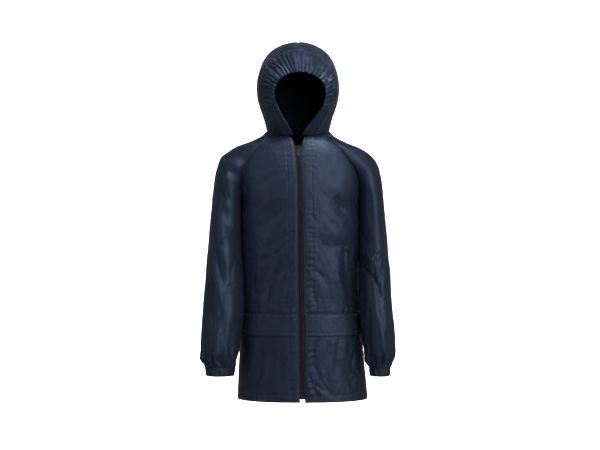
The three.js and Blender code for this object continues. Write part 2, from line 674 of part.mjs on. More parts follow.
// Heights of the zip's rows, between two ends: the rows of the front edges beside it
function zipHeights(low, high) {
  const upper = RAGLAN.map((_, i) => THREE.MathUtils.lerp(UNDERARM, NECK.frontHeight, i / RAGLAN.length));
  return [low, ...[...BODY_HEIGHTS, ...upper].filter((z) => z > low + 2 && z < high - 2), high];
}

// The middle of the front at a height: a point and the direction straight out of it
function frontMiddle(z, away) {
  const depthAt = (height) => {
    const depth = body("front", height);
    const share = Math.abs(away) / body("halfWidth", height);
    return depth * (1 - share ** BODY_SQUARENESS) ** (1 / BODY_SQUARENESS);
  };
  const point = new THREE.Vector3(body("lean", z) + away, -depthAt(z), z);
  const slope = (depthAt(z + 2) - depthAt(z - 2)) / 4;
  return { point, outward: new THREE.Vector3(0, -1, -slope).normalize() };
}

// A strip that runs up the middle of the front between two offsets, sunk below its surface
function makeStrip(low, high, from, to, sunk) {
  const rows = [];
  const outward = [];
  for (const z of zipHeights(low, high)) {
    const ends = [from, to].map((away) => frontMiddle(z, away));
    rows.push(makeRow(ends.map(({ point, outward: out }) => point.clone().addScaledVector(out, -sunk))));
    outward.push(ends.map(({ outward: out }) => out.clone()));
  }
  return { rows, outward };
}

// A turned frame at the middle of the front: X to the left, Y into the coat, Z up along its surface
function frontFrame(z) {
  const { point, outward } = frontMiddle(z, 0);
  const inward = outward.clone().negate();
  const right = new THREE.Vector3(1, 0, 0);
  const up = right.clone().cross(inward).normalize();
  return new THREE.Matrix4().makeBasis(right, inward, up).setPosition(point);
}

function toManifold(geometry) {
  const bare = geometry.index ? geometry.toNonIndexed() : geometry.clone();
  const places = new THREE.BufferGeometry().setAttribute("position", bare.getAttribute("position"));
  const merged = mergeVertices(places, 1e-4);
  const vertProperties = new Float32Array(merged.attributes.position.array);
  const triVerts = new Uint32Array(merged.index.array);
  return new wasm.Manifold(new wasm.Mesh({ numProp: 3, vertProperties, triVerts }));
}

function fromManifold(solid) {
  const mesh = solid.getMesh();
  const geometry = new THREE.BufferGeometry();
  geometry.setAttribute("position", new THREE.BufferAttribute(mesh.vertProperties, 3));
  geometry.setIndex(new THREE.BufferAttribute(mesh.triVerts, 1));
  geometry.computeVertexNormals();
  return geometry;
}

// A shape drawn in X and Z, pushed through Y between two depths
function plate(shape, near, far, bevel = 0) {
  const settings = { depth: far - near - 2 * bevel, bevelEnabled: bevel > 0, bevelThickness: bevel };
  const geometry = new THREE.ExtrudeGeometry(shape, {
    ...settings,
    bevelSize: bevel,
    bevelOffset: -bevel,
    bevelSegments: 1,
    curveSegments: 4,
  });
  return geometry.translate(0, 0, -far + bevel).rotateX(Math.PI / 2);
}

function roundedShape(width, top, bottom, radius) {
  const x = width / 2;
  const shape = new THREE.Shape();
  shape.moveTo(-x + radius, bottom);
  shape.lineTo(x - radius, bottom);
  shape.quadraticCurveTo(x, bottom, x, bottom + radius);
  shape.lineTo(x, top - radius);
  shape.quadraticCurveTo(x, top, x - radius, top);
  shape.lineTo(-x + radius, top);
  shape.quadraticCurveTo(-x, top, -x, top - radius);
  shape.lineTo(-x, bottom + radius);
  shape.quadraticCurveTo(-x, bottom, -x + radius, bottom);
  return shape;
}

// The slider's body, with the bridge that the pull tab swings in. Its middle is the frame's origin.
function makeSlider() {
  const half = SLIDER.height / 2;
  const outline = new THREE.Shape();
  const shoulder = SLIDER.width / 2;
  outline.moveTo(-shoulder * 0.62, -half);
  outline.lineTo(shoulder * 0.62, -half);
  outline.quadraticCurveTo(shoulder * 0.72, -half * 0.2, shoulder, half * 0.45);
  outline.quadraticCurveTo(shoulder, half, shoulder * 0.45, half);
  outline.lineTo(-shoulder * 0.45, half);
  outline.quadraticCurveTo(-shoulder, half, -shoulder, half * 0.45);
  outline.quadraticCurveTo(-shoulder * 0.72, -half * 0.2, -shoulder * 0.62, -half);
  const face = plate(outline, -SLIDER.face, -SLIDER.underFace, 0.4);
  const back = plate(outline, -SLIDER.overBack, -SLIDER.back, 0.3);
  const postOutline = roundedShape(SLIDER.post * 2, half - 0.6, half * 0.1, 1);
  const post = plate(postOutline, -SLIDER.face + 1, -SLIDER.back - 0.5);
  const arch = new THREE.Shape();
  const foot = BRIDGE.above + 0.6;
  arch.moveTo(-BRIDGE.outside, -foot);
  arch.lineTo(-BRIDGE.outside, 0);
  arch.absarc(0, 0, BRIDGE.outside, Math.PI, 0, true);
  arch.lineTo(BRIDGE.outside, -foot);
  arch.lineTo(BRIDGE.inside, -foot);
  arch.lineTo(BRIDGE.inside, 0);
  arch.absarc(0, 0, BRIDGE.inside, 0, Math.PI, false);
  arch.lineTo(-BRIDGE.inside, -foot);
  arch.closePath();
  const across = { depth: BRIDGE.width, bevelEnabled: false, curveSegments: 6 };
  const bridge = new THREE.ExtrudeGeometry(arch, across);
  bridge.translate(0, 0, -BRIDGE.width / 2);
  const axes = new THREE.Matrix4().makeBasis(
    new THREE.Vector3(0, 0, 1),
    new THREE.Vector3(0, -1, 0),
    new THREE.Vector3(1, 0, 0),
  );
  bridge.applyMatrix4(axes).translate(0, -SLIDER.face - BRIDGE.above, 0);
  const solids = [face, back, post, bridge].map(toManifold);
  return fromManifold(solids.reduce((joined, piece) => joined.add(piece)));
}

// The pull tab, hanging down. Its origin is the middle of its bar.
function makePullTab() {
  const shape = roundedShape(TAB.width, TAB.bar / 2, -TAB.length, 1.2);
  const side = TAB.window / 2;
  const window = new THREE.Path();
  window.moveTo(-side, -TAB.bar / 2);
  window.lineTo(-side, -TAB.windowEnd);
  window.lineTo(side, -TAB.windowEnd);
  window.lineTo(side, -TAB.bar / 2);
  window.closePath();
  shape.holes.push(window);
  return plate(shape, -TAB.thick / 2, TAB.thick / 2, 0.25);
}

function addMesh(group, name, geometry, finish) {
  const mesh = new THREE.Mesh(geometry, new THREE.MeshStandardMaterial(finish));
  mesh.name = name;
  group.add(mesh);
  return mesh;
}

function addCloth(group, name, piece, wall, finish = NAVY) {
  return addMesh(group, name, clothSolid(piece.rows, piece.outward, wall), finish);
}

function addBodyPieces(coat) {
  const frontLeft = makeFront(LEFT);
  const frontRight = makeFront(RIGHT);
  addCloth(coat, "front_left", frontLeft, WALL);
  addCloth(coat, "front_right", frontRight, WALL);
  addCloth(coat, "back", makeBack(), WALL);
  addCloth(coat, "flap_left", makeFlap(frontLeft), WALL);
  addCloth(coat, "flap_right", makeFlap(frontRight), WALL);
  addCloth(coat, "sleeve_left", makeSleeve(LEFT), WALL);
  addCloth(coat, "sleeve_right", makeSleeve(RIGHT), WALL);
}

function addHood(coat) {
  addCloth(coat, "hood_left", makeHoodHalf(LEFT), WALL);
  addCloth(coat, "hood_right", makeHoodHalf(RIGHT), WALL);
  addCloth(coat, "hood_band", makeBand(), BAND_WALL);
}

function addZip(coat) {
  const boxTop = ZIP_BOTTOM + ZIP_BOX.height;
  const sliderMiddle = SLIDER_TOP - SLIDER.height / 2;
  const sliderBottom = SLIDER_TOP - SLIDER.height;
  const tapeSunk = WALL + LAYER_GAP;
  const tapeLow = boxTop + SEAM_GAP;
  const leftTape = makeStrip(tapeLow, ZIP_TOP, TAPE.inner, TAPE.outer, tapeSunk);
  addCloth(coat, "zip_tape_left", leftTape, TAPE_WALL, BLACK_TAPE);
  const rightTape = makeStrip(tapeLow, ZIP_TOP, -TAPE.outer, -TAPE.inner, tapeSunk);
  addCloth(coat, "zip_tape_right", rightTape, TAPE_WALL, BLACK_TAPE);
  const chain = makeStrip(tapeLow, sliderBottom - SEAM_GAP, -CHAIN.halfWidth, CHAIN.halfWidth, CHAIN.sunk);
  addCloth(coat, "zip_chain", chain, CHAIN.thick, BLACK_PLASTIC);
  const box = plate(roundedShape(ZIP_BOX.width, ZIP_BOX.height, 0, 1), -0.6, ZIP_BOX.thick - 0.6, 0.4);
  addMesh(coat, "zip_box", box, BLACK_PLASTIC).applyMatrix4(frontFrame(ZIP_BOTTOM));
  const frame = frontFrame(sliderMiddle);
  addMesh(coat, "zip_slider", makeSlider(), DARK_METAL).applyMatrix4(frame);
  const bar = new THREE.Matrix4().makeTranslation(0, -SLIDER.face - BRIDGE.above, 0);
  addMesh(coat, "pull_tab", makePullTab(), DARK_METAL).applyMatrix4(frame.multiply(bar));
}

const coat = new THREE.Group();
addBodyPieces(coat);
addHood(coat);
addZip(coat);

export default coat;
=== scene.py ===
# %% [markdown]
# # A child's hooded raincoat
# The coat hangs filled out with nobody in it, as a worn coat does. The fixed frame holds its solids,
# and this lesson dresses them: each cut panel becomes a thin shell of coated nylon with its creases,
# gathers, seams and stitches, and the zip gets its teeth and its metal.
# Tables are in millimetres, +Z up. The coat faces -Y, and the wearer's left is +X.

# %% Load the frame
import math

import bmesh
import bpy
import numpy as np
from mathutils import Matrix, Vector


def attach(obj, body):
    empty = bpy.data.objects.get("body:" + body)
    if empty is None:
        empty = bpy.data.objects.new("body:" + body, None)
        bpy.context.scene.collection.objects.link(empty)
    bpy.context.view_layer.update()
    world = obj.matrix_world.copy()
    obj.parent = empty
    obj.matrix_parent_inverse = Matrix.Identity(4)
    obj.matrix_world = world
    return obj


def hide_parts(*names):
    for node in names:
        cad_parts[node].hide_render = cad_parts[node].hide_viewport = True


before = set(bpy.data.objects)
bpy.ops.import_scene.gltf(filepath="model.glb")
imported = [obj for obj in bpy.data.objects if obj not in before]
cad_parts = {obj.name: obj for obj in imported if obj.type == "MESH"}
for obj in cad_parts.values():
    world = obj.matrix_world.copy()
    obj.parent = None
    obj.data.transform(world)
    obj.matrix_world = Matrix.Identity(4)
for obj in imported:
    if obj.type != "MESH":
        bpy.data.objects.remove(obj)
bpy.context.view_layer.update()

MM = 0.001
LEFT, RIGHT = 1, -1
COAT = "coat"

# %% [markdown]
# ## Camera, backdrop and lamps
# The photograph looks level and straight at the front from some way off, so a long lens three metres
# away gives its flat perspective. The coat is cut out on white there, so a pale floor sweeps up into a
# pale wall behind it.

# %% Camera
PHOTO_WIDTH_MM = 1260
CAMERA_AWAY = 3.0
camera_data = bpy.data.cameras.new("camera")
camera_data.sensor_width = 36
camera_data.lens = camera_data.sensor_width * CAMERA_AWAY / (PHOTO_WIDTH_MM * MM)
camera = bpy.data.objects.new("camera", camera_data)
camera.location = (0.0042, -CAMERA_AWAY, -0.1785)
camera.rotation_euler = (math.radians(90), 0, 0)
bpy.context.scene.collection.objects.link(camera)
bpy.context.scene.camera = camera
print("lens:", round(camera_data.lens, 2), "mm")

# %% Sweep of floor and wall
FLOOR_Z = -1.15
SWEEP_HALF_WIDTH = 6.0
SWEEP_FRONT = -5.0
SWEEP_BACK = 3.6
SWEEP_RADIUS = 1.6
SWEEP_TOP = 4.5


def make_sweep():
    """A floor that curves up into a wall, as one smooth strip."""
    turn = np.linspace(0, math.pi / 2, 17)
    bend_y = SWEEP_BACK - SWEEP_RADIUS + SWEEP_RADIUS * np.sin(turn)
    bend_z = FLOOR_Z + SWEEP_RADIUS * (1 - np.cos(turn))
    profile = [(SWEEP_FRONT, FLOOR_Z), *zip(bend_y, bend_z), (SWEEP_BACK, SWEEP_TOP)]
    points = [(x, y, z) for y, z in profile for x in (-SWEEP_HALF_WIDTH, SWEEP_HALF_WIDTH)]
    faces = [(2 * i, 2 * i + 1, 2 * i + 3, 2 * i + 2) for i in range(len(profile) - 1)]
    mesh = bpy.data.meshes.new("backdrop")
    mesh.from_pydata(points, [], faces)
    mesh.shade_smooth()
    sweep = bpy.data.objects.new("backdrop", mesh)
    bpy.context.scene.collection.objects.link(sweep)
    paint = bpy.data.materials.new("backdrop_paper")
    paint.use_nodes = True
    shader = paint.node_tree.nodes["Principled BSDF"]
    shader.inputs["Base Color"].default_value = (0.9, 0.9, 0.9, 1)
    shader.inputs["Roughness"].default_value = 0.9
    mesh.materials.append(paint)
    sweep.visible_glossy = False
    return sweep


make_sweep()
world = bpy.context.scene.world or bpy.data.worlds.new("world")
bpy.context.scene.world = world
world.use_nodes = True
world.node_tree.nodes["Background"].inputs["Color"].default_value = (0.9, 0.94, 1, 1)
world.node_tree.nodes["Background"].inputs["Strength"].default_value = 0.13
bpy.context.scene.view_settings.view_transform = "Standard"
bpy.context.scene.view_settings.look = "None"

# %% Lamps
LAMPS = {
    "front": ((1.6, -3.4, 0.8), (0.05, 0, -0.15), 2.5, 2.2, 56, (0.8, 0.87, 1.0)),
    "key_right": ((2.3, -1.8, 0.7), (0.1, 0, -0.1), 1.1, 1.7, 20, (0.76, 0.85, 1.0)),
    "fill_left": ((-2.4, -1.7, 0.6), (-0.1, 0, -0.1), 1.2, 1.8, 9, (0.76, 0.85, 1.0)),
    "top": ((0.5, -1.3, 2.1), (0, 0, 0), 1.3, 0.8, 11, (0.84, 0.9, 1.0)),
    "crown": ((0.3, -0.6, 1.2), (0.02, -0.03, 0.15), 0.3, 0.2, 0.36, (0.84, 0.9, 1.0)),
    "wall_left": ((-2.6, 1.2, 1.8), (-0.8, 3.4, 0), 2.0, 2.0, 150, (1.0, 1.0, 1.0)),
    "wall_right": ((2.6, 1.2, 1.8), (0.8, 3.4, 0), 2.0, 2.0, 150, (1.0, 1.0, 1.0)),
}

LAMP_SPREADS = {"wall_left": 105, "wall_right": 105, "crown": 16}

def add_lamp(name, place, target, width, height, watts, color):
    data = bpy.data.lights.new(name, "AREA")
    data.shape = "RECTANGLE"
    data.size, data.size_y = width, height
    data.energy, data.color = watts, color
    if name in LAMP_SPREADS:
        data.spread = math.radians(LAMP_SPREADS[name])
    lamp = bpy.data.objects.new(name, data)
    lamp.location = place
    lamp.rotation_euler = (Vector(target) - Vector(place)).to_track_quat("-Z", "Y").to_euler()
    bpy.context.scene.collection.objects.link(lamp)


for lamp_name, lamp_values in LAMPS.items():
    add_lamp(lamp_name, *lamp_values)
print("lamps:", len(LAMPS))

# %% [markdown]
# ## The form of the coat
# A panel of worn cloth can be drawn by hand as a few cross sections, one above the other, and a smooth
# surface laid through them. The sections here are the ones that the coat was cut to, and the shells
# keep to them: only creases and stitching are added on top.

# %% Tables of sections
def table(names, rows):
    """A short table as one array for each named column."""
    return dict(zip(names.split(), np.array(rows, float).T))


BODY = table("z half_width front back lean", [
    (-540, 137, 100, 99, 9.5), (-450, 130, 99, 96, 7.6), (-360, 124, 96, 92, 6),
    (-260, 123, 95, 91, 5), (-168, 124, 95, 94, 4.3), (-110, 126, 92, 95, 4),
    (-60, 120, 84, 88, 2.5), (-20, 96, 73, 78, 0.8), (3, 70, 66, 68, 0), (34, 60, 60, 58, 0),
])
HEM, UNDERARM, FLAP_TOP, FLAP_BOTTOM = -540, -168, -361, -405
BODY_HEIGHTS = [-540, -518, -490, -460, -432, -405, -383, -361, -336, -310, -280, -250, -222, -195]
BODY_SQUARENESS, NECK_SQUARENESS = 2.4, 2
RAGLAN = table("front_x front_y front_z back_x back_y back_z top_x top_z", [
    (124, 0, -168, 124, 0, -168, 184, -170), (122, -17, -134, 124, 18, -134, 181, -137),
    (123, -30, -105, 124, 33, -105, 178.5, -104), (120, -42, -78, 120, 45, -80, 174, -72),
    (113, -49, -59, 114, 51, -61, 168, -50), (105, -53, -48, 107, 55, -48, 160, -36),
    (97, -56, -36, 99, 56, -34, 147, -24), (88, -56, -23, 90, 54, -17, 130, -14),
    (77, -54, -11, 78, 49, 1, 106, -5.5), (64, -50, -1, 65, 42, 15, 81, 5.5),
])
RAGLAN_ROWS = 10
LEFT_SHOULDER_DROP = 3.5
NECK = {"half_width": 66, "front": 66, "back": 58, "front_height": 3, "back_height": 34}
FACE_SEAM, FRONT_SEAM, BACK_SEAM = (math.radians(a) for a in (35, 50, 125))
FRONT_EDGE = table("z away", [(-540, 4.5), (-526, 6.3), (-300, 6.5), (-22, 6.5), (-8, 9), (3, 14)])
SHOULDER_ARM = table("z depth middle_y", [(-170, 60, -8), (-104, 58, -3), (-50, 55, 0), (20, 50, 0)])
SLEEVE = table("z inner outer depth middle_y", [
    (-168, 124, 184, 60, -8), (-210, 125.5, 187, 58, -19), (-252, 124.5, 191, 56, -29),
    (-300, 123, 193, 54, -38), (-360, 123, 197, 52, -46), (-400, 127.5, 200, 50, -51),
    (-432, 131, 200.5, 47, -54), (-453, 135, 197, 41, -57), (-471, 138, 190.5, 34.5, -59),
    (-488, 139, 189.5, 33, -60),
])
SLEEVE_HEIGHTS = [-488, -477, -471, -462, -453, -443, -432, -412, -388, -360, -330, -300, -270, -240,
                  -212, -188]
HOOD = table("face_x face_y face_z back_y back_z wide rim_x rim_y rim_z", [
    (47, -56, 20, 72, 52, 69, 20, -75, 18), (57, -55, 38, 86, 72, 75.5, 29, -80, 32),
    (67, -52, 56, 96, 92, 81, 38, -84, 46), (75, -48, 76, 102, 114, 86, 46, -88, 61),
    (80, -45, 96, 104, 136, 87.5, 52, -91, 76), (82, -44, 114, 100, 158, 85.5, 54, -94, 91),
    (79, -46, 132, 88, 178, 80, 51, -96, 105), (70, -50, 148, 66, 194, 71.5, 44, -98, 116),
    (58, -55, 161, 38, 203, 59.5, 34, -100, 124), (42, -60, 171, 8, 206, 43.5, 23, -101, 129),
    (23, -65, 179, -24, 202, 24, 12, -102, 132.5), (0, -68, 183, -68, 183, 0, 0, -102, 133.5),
])
HOOD_ROWS = 12
CHIN_RIM = (13.5, -68, 5.5)
HOOD_SQUARENESS, HOOD_WIDEST, OPENING_LEAN, BAND_PUFF = 2.2, 0.4, 4.5, 7
SEAM_GAP = 0.34
FINE = 400


def smooth(rows, key, name, at):
    """A smooth value of one column of a table, at places along its key column."""
    order = np.argsort(rows[key])
    x, y = rows[key][order], rows[name][order]
    last = len(x) - 1
    low, high = np.maximum(np.arange(last + 1) - 1, 0), np.minimum(np.arange(last + 1) + 1, last)
    slope = (y[high] - y[low]) / (x[high] - x[low])
    place = np.clip(at, x[0], x[-1])
    i = np.clip(np.searchsorted(x, place) - 1, 0, last - 1)
    span = x[i + 1] - x[i]
    t = (place - x[i]) / span
    rise = t * t * (3 - 2 * t)
    ends = t * (1 - t) ** 2 * span * slope[i] + t * t * (t - 1) * span * slope[i + 1]
    return y[i] * (1 - rise) + y[i + 1] * rise + ends


def body(name, z):
    return float(smooth(BODY, "z", name, z))


def mix(a, b, t):
    return a + (b - a) * t


# %% Sections of the body, the sleeves and the neck
def oval_reach(direction, half_width, depth, squareness):
    across = np.abs(np.sin(direction) / half_width) ** squareness
    along = np.abs(np.cos(direction) / depth) ** squareness
    return (across + along) ** (-1 / squareness)


def neck_arc(start, end, side):
    """Points along the neck ring. The direction is 0 at the middle of the front."""
    direction = np.linspace(start, end, FINE)
    depth = np.where(np.cos(direction) > 0, NECK["front"], NECK["back"])
    reach = oval_reach(direction, NECK["half_width"], depth, NECK_SQUARENESS)
    height = mix(NECK["front_height"], NECK["back_height"], (1 - np.cos(direction)) / 2)
    return np.stack([side * reach * np.sin(direction), -reach * np.cos(direction), height], axis=1)


def raglan(i, side, edge):
    """A point of the front or back raglan seam, or of the shoulder's top between them."""
    if edge == "top":
        drop = LEFT_SHOULDER_DROP * math.sin(math.pi * i / RAGLAN_ROWS) if side == LEFT else 0
        return np.array([side * RAGLAN["top_x"][i], 0, RAGLAN["top_z"][i] - drop])
    x, y, z = (RAGLAN[f"{edge}_{axis}"][i] for axis in "xyz")
    return np.array([side * x + body("lean", z), y, z])


def body_arc(side, facing, middle_z, seam, start, share):
    """Half a body section, from the middle of the front or back out to a seam point."""
    depth = body(facing, middle_z)
    squareness = mix(BODY_SQUARENESS, NECK_SQUARENESS, share)
    reach_x = side * (seam[0] - body("lean", seam[2]))
    reach_y = min(abs(seam[1]) / depth, 0.98)
    half_width = reach_x / (1 - reach_y**squareness) ** (1 / squareness)
    seam_direction = math.atan2(reach_x, abs(seam[1]))
    direction = np.linspace(math.atan2(start, depth), seam_direction, FINE)
    reach = oval_reach(direction, half_width, depth, squareness)
    rise = (1 - np.cos(direction)) / (1 - math.cos(seam_direction))
    z = mix(middle_z, seam[2], rise)
    y = reach * np.cos(direction)
    x = side * reach * np.sin(direction) + smooth(BODY, "z", "lean", z)
    return np.stack([x, -y if facing == "front" else y, z], axis=1)


def sleeve_arc(front, outer, back, middle_y, half_depth, side):
    """A sleeve section from the front seam, over the outer edge, to the back seam."""
    halves = []
    for seam, sign in ((front, -1), (back, 1)):
        depth = max(half_depth, abs(seam[1] - middle_y))
        sine = np.clip(sign * (seam[1] - middle_y) / depth, -1, 1)
        width = side * (outer[0] - seam[0]) / (1 + math.sqrt(1 - sine * sine))
        turn = (math.pi - math.asin(sine)) * np.linspace(1, 0, FINE // 2)
        out = side * outer[0] - width + width * np.cos(turn)
        z = mix(seam[2], outer[2], (out - side * seam[0]) / (side * (outer[0] - seam[0])))
        halves.append(np.stack([side * out, middle_y + sign * depth * np.sin(turn), z], axis=1))
    return np.concatenate([halves[0], halves[1][::-1][1:]])


# %% [markdown]
# ## From sections to a sheet of cloth
# Lofting would give the same surface, but cloth also has to be pushed, gathered and sewn afterwards.
# So each panel is an even grid of points about two millimetres apart, which any of those can move, and
# it only becomes a mesh at the very end.

# %% Even grids
def even(row, count, start=0, end=0):
    """A row again with evenly spaced points, cut short at its ends."""
    along = np.concatenate([[0], np.cumsum(np.linalg.norm(np.diff(row, axis=0), axis=1))])
    at = np.linspace(start, along[-1] - end, count)
    return np.stack([np.interp(at, along, row[:, k]) for k in range(3)], axis=1)


def loft(rows, spacing):
    """Smooth curves laid through the rows, and new rows about that far apart."""
    rows = np.array(rows)
    steps = np.linalg.norm(np.diff(rows, axis=0), axis=2).mean(axis=1)
    at = np.concatenate([[0], np.cumsum(steps)])
    slope = np.gradient(rows, at, axis=0)
    new = np.linspace(0, at[-1], round(at[-1] / spacing) + 1)
    i = np.clip(np.searchsorted(at, new, side="right") - 1, 0, len(at) - 2)
    span = (at[i + 1] - at[i])[:, None, None]
    t = (new - at[i])[:, None, None] / span
    rise = t * t * (3 - 2 * t)
    ends = t * (1 - t) ** 2 * span * slope[i] + t * t * (t - 1) * span * slope[i + 1]
    return rows[i] * (1 - rise) + rows[i + 1] * rise + ends


def lengths(points, axis):
    """How far each point of a grid is along its row or column."""
    steps = np.linalg.norm(np.diff(points, axis=axis), axis=2)
    first = np.zeros_like(steps.take([0], axis=axis))
    return np.concatenate([first, np.cumsum(steps, axis=axis)], axis=axis)


class Cloth:
    """A grid of a panel's outer points, with its outward directions and its places on the panel."""

    def __init__(self, points, around_row=False):
        self.points = points
        self.around_row = around_row
        self.across = lengths(points, 1)
        self.to_end = self.across[:, -1:] - self.across
        self.up = lengths(points, 0)
        self.to_top = self.up[-1:] - self.up
        self.base = points.copy()
        self.refresh()
        self.base_normal = self.normal

    def refresh(self):
        rise, run = np.gradient(self.points, axis=0), np.gradient(self.points, axis=1)
        normal = np.cross(run, rise)
        size = np.linalg.norm(normal, axis=2, keepdims=True)
        normal = normal / np.maximum(size, 1e-9)
        if self.around_row:
            middle = self.points.mean(axis=1, keepdims=True)
        else:
            middle = self.points * [0, 0, 1]
        if ((self.points - middle) * normal).sum() < 0:
            normal = -normal
        self.normal = normal

    def push(self, depth):
        """Moves the points inwards by a depth each."""
        self.points = self.points - self.normal * depth[..., None]
        self.refresh()

    def flat(self):
        """The width, length and area of the cut, in metres, with the cloth of its gathers let out."""
        width, length = lengths(self.points, 1)[:, -1].max(), lengths(self.points, 0)[-1].max()
        run, rise = np.diff(self.points, axis=1)[:-1], np.diff(self.points, axis=0)[:, :-1]
        area = np.linalg.norm(np.cross(run, rise), axis=2).sum()
        return round(float(width) * MM, 3), round(float(length) * MM, 3), float(area) * MM * MM


def front_rows(side):
    rows = []
    for z in BODY_HEIGHTS:
        seam = np.array([side * body("half_width", z) + body("lean", z), 0, z])
        start = float(smooth(FRONT_EDGE, "z", "away", z))
        rows.append(body_arc(side, "front", z, seam, start, 0))
    for i in range(RAGLAN_ROWS):
        share = i / RAGLAN_ROWS
        middle_z = mix(UNDERARM, NECK["front_height"], share)
        start = float(smooth(FRONT_EDGE, "z", "away", middle_z))
        rows.append(body_arc(side, "front", middle_z, raglan(i, side, "front"), start, share))
    start = math.asin(float(smooth(FRONT_EDGE, "z", "away", NECK["front_height"])) / NECK["front"])
    rows.append(neck_arc(start, FRONT_SEAM, side))
    return rows


def back_rows():
    halves = []
    for side in (RIGHT, LEFT):
        rows = []
        for z in BODY_HEIGHTS:
            seam = np.array([side * body("half_width", z) + body("lean", z), 0, z])
            rows.append(body_arc(side, "back", z, seam, 0, 0))
        for i in range(RAGLAN_ROWS):
            share = i / RAGLAN_ROWS
            middle_z = mix(UNDERARM, NECK["back_height"], share)
            rows.append(body_arc(side, "back", middle_z, raglan(i, side, "back"), 0, share))
        rows.append(neck_arc(math.pi, BACK_SEAM, side))
        halves.append(rows)
    return [np.concatenate([right[::-1], left[1:]]) for right, left in zip(*halves)]


def sleeve_rows(side):
    rows = []
    for z in SLEEVE_HEIGHTS:
        inner, outer, depth, middle_y = (
            float(smooth(SLEEVE, "z", name, z)) for name in ("inner", "outer", "depth", "middle_y")
        )
        seam_y = min(1, (UNDERARM - z) / 60) * middle_y
        seam = np.array([side * inner + body("lean", z), seam_y, z])
        rows.append(sleeve_arc(seam, np.array([side * outer, 0, z]), seam, middle_y, depth, side))
    for i in range(RAGLAN_ROWS):
        top = raglan(i, side, "top")
        middle_y = float(smooth(SHOULDER_ARM, "z", "middle_y", top[2]))
        depth = float(smooth(SHOULDER_ARM, "z", "depth", top[2]))
        front, back = raglan(i, side, "front"), raglan(i, side, "back")
        rows.append(sleeve_arc(front, top, back, middle_y, depth, side))
    rows.append(neck_arc(FRONT_SEAM, BACK_SEAM, side))
    return rows


def hood_places(i, side):
    """The face seam, the back seam and the rim of the opening, in one row of the hood."""
    if i == 0:
        face = neck_arc(FACE_SEAM, FACE_SEAM + 0.01, side)[0] + [0, 0, SEAM_GAP]
        x, y, z = CHIN_RIM
        return face, neck_arc(math.pi, math.pi - 0.01, side)[0], np.array([side * x, y, z])
    row = {name: column[i - 1] for name, column in HOOD.items()}
    face = np.array([side * row["face_x"], row["face_y"], row["face_z"]])
    back = np.array([0, row["back_y"], row["back_z"]])
    lean = OPENING_LEAN * min(1, (i - 1) / 3)
    return face, back, np.array([side * row["rim_x"] + lean, row["rim_y"], row["rim_z"]])


def hood_rows(side):
    first = neck_arc(FACE_SEAM, math.pi, side) + [0, 0, SEAM_GAP]
    rows = [first]
    for i in range(1, HOOD_ROWS):
        face, back, _ = hood_places(i, side)
        wide = HOOD["wide"][i - 1]
        c = np.linspace(0, 1, FINE)
        turn = np.clip((c - 1 / 3) * 1.5, 0, 1) * math.pi / 2
        behind = HOOD_WIDEST + (1 - HOOD_WIDEST) * np.sin(turn) ** (2 / HOOD_SQUARENESS)
        share = np.where(c < 1 / 3, HOOD_WIDEST * c * 3, behind)
        ahead = wide - (wide - side * face[0]) * np.clip(1 - c * 3, 0, 1) ** 2
        x = np.where(c < 1 / 3, ahead, wide * np.cos(turn) ** (2 / HOOD_SQUARENESS))
        points = mix(face, back, share[:, None])
        points[:, 0] = side * (x + (1 - x / wide) * SEAM_GAP / 2)
        rows.append(points)
    tip = hood_places(HOOD_ROWS, side)[0] + [side * SEAM_GAP / 2, SEAM_GAP, 0]
    rows.append(np.tile(tip, (FINE, 1)) + np.linspace(0, 0.02, FINE)[:, None])
    return rows


def band_rows():
    """The face band from the left end at the chin, over the brow, to the right one."""
    places = [hood_places(i, LEFT) for i in range(HOOD_ROWS + 1)]
    places += [hood_places(i, RIGHT) for i in range(HOOD_ROWS - 1, -1, -1)]
    share = np.linspace(0, 1, 33)[:, None]
    return [face + (rim - face) * share for face, _, rim in places]


def make_panels():
    """Every large panel as a grid, before its folds."""
    gap = SEAM_GAP / 2
    grids = {}
    for side, word in ((LEFT, "left"), (RIGHT, "right")):
        fronts = [even(row, 91, 0, gap) for row in front_rows(side)]
        grids[f"front_{word}"] = Cloth(loft(fronts, 2.0))
        tubes = [even(row, 135, gap, gap) for row in sleeve_rows(side)]
        grids[f"sleeve_{word}"] = Cloth(loft(tubes, 2.3), around_row=True)
        halves = [even(row, 85, 0 if i == HOOD_ROWS else gap) for i, row in enumerate(hood_rows(side))]
        grids[f"hood_{word}"] = Cloth(loft(halves, 2.0))
    grids["back"] = Cloth(loft([even(row, 151, gap, gap) for row in back_rows()], 2.3))
    grids["hood_band"] = Cloth(loft(band_rows(), 1.15))
    return grids


print("half width at the hem:", body("half_width", HEM), "mm")

# %% [markdown]
# ## Folds and creases
# Coated nylon is thin and a little springy. It falls in wide soft folds, and where it is pulled or bent
# it keeps short crisp creases with a raised shoulder on one side. The wide folds below are the ones that
# the coat's solids have, one of them drawn shallower. The creases are placed one by one, as seen from the front or from the back, and
# a deeper number pushes in while a negative one makes a ridge.

# %% Wandering values and creases
def wander(at, spacing, seed):
    """A smooth value from -1 to 1 that changes about once in a spacing."""
    knots = np.random.default_rng(seed).uniform(-1, 1, 997)
    place = np.asarray(at, float) / spacing + 200.37
    i = np.floor(place).astype(int)
    t = place - i
    return mix(knots[i % 997], knots[(i + 1) % 997], t * t * (3 - 2 * t))


def clouds(x, y, size, seed):
    """The same in two directions, as soft patches of that size."""
    knots = np.random.default_rng(seed).uniform(-1, 1, (61, 61))
    px, py = x / size + 30.21, y / size + 30.73
    i, j = np.floor(px).astype(int), np.floor(py).astype(int)
    tx, ty = px - i, py - j
    tx, ty = tx * tx * (3 - 2 * tx), ty * ty * (3 - 2 * ty)
    i, j, k, m = i % 61, j % 61, (i + 1) % 61, (j + 1) % 61
    return mix(mix(knots[i, j], knots[k, j], tx), mix(knots[i, m], knots[k, m], tx), ty)


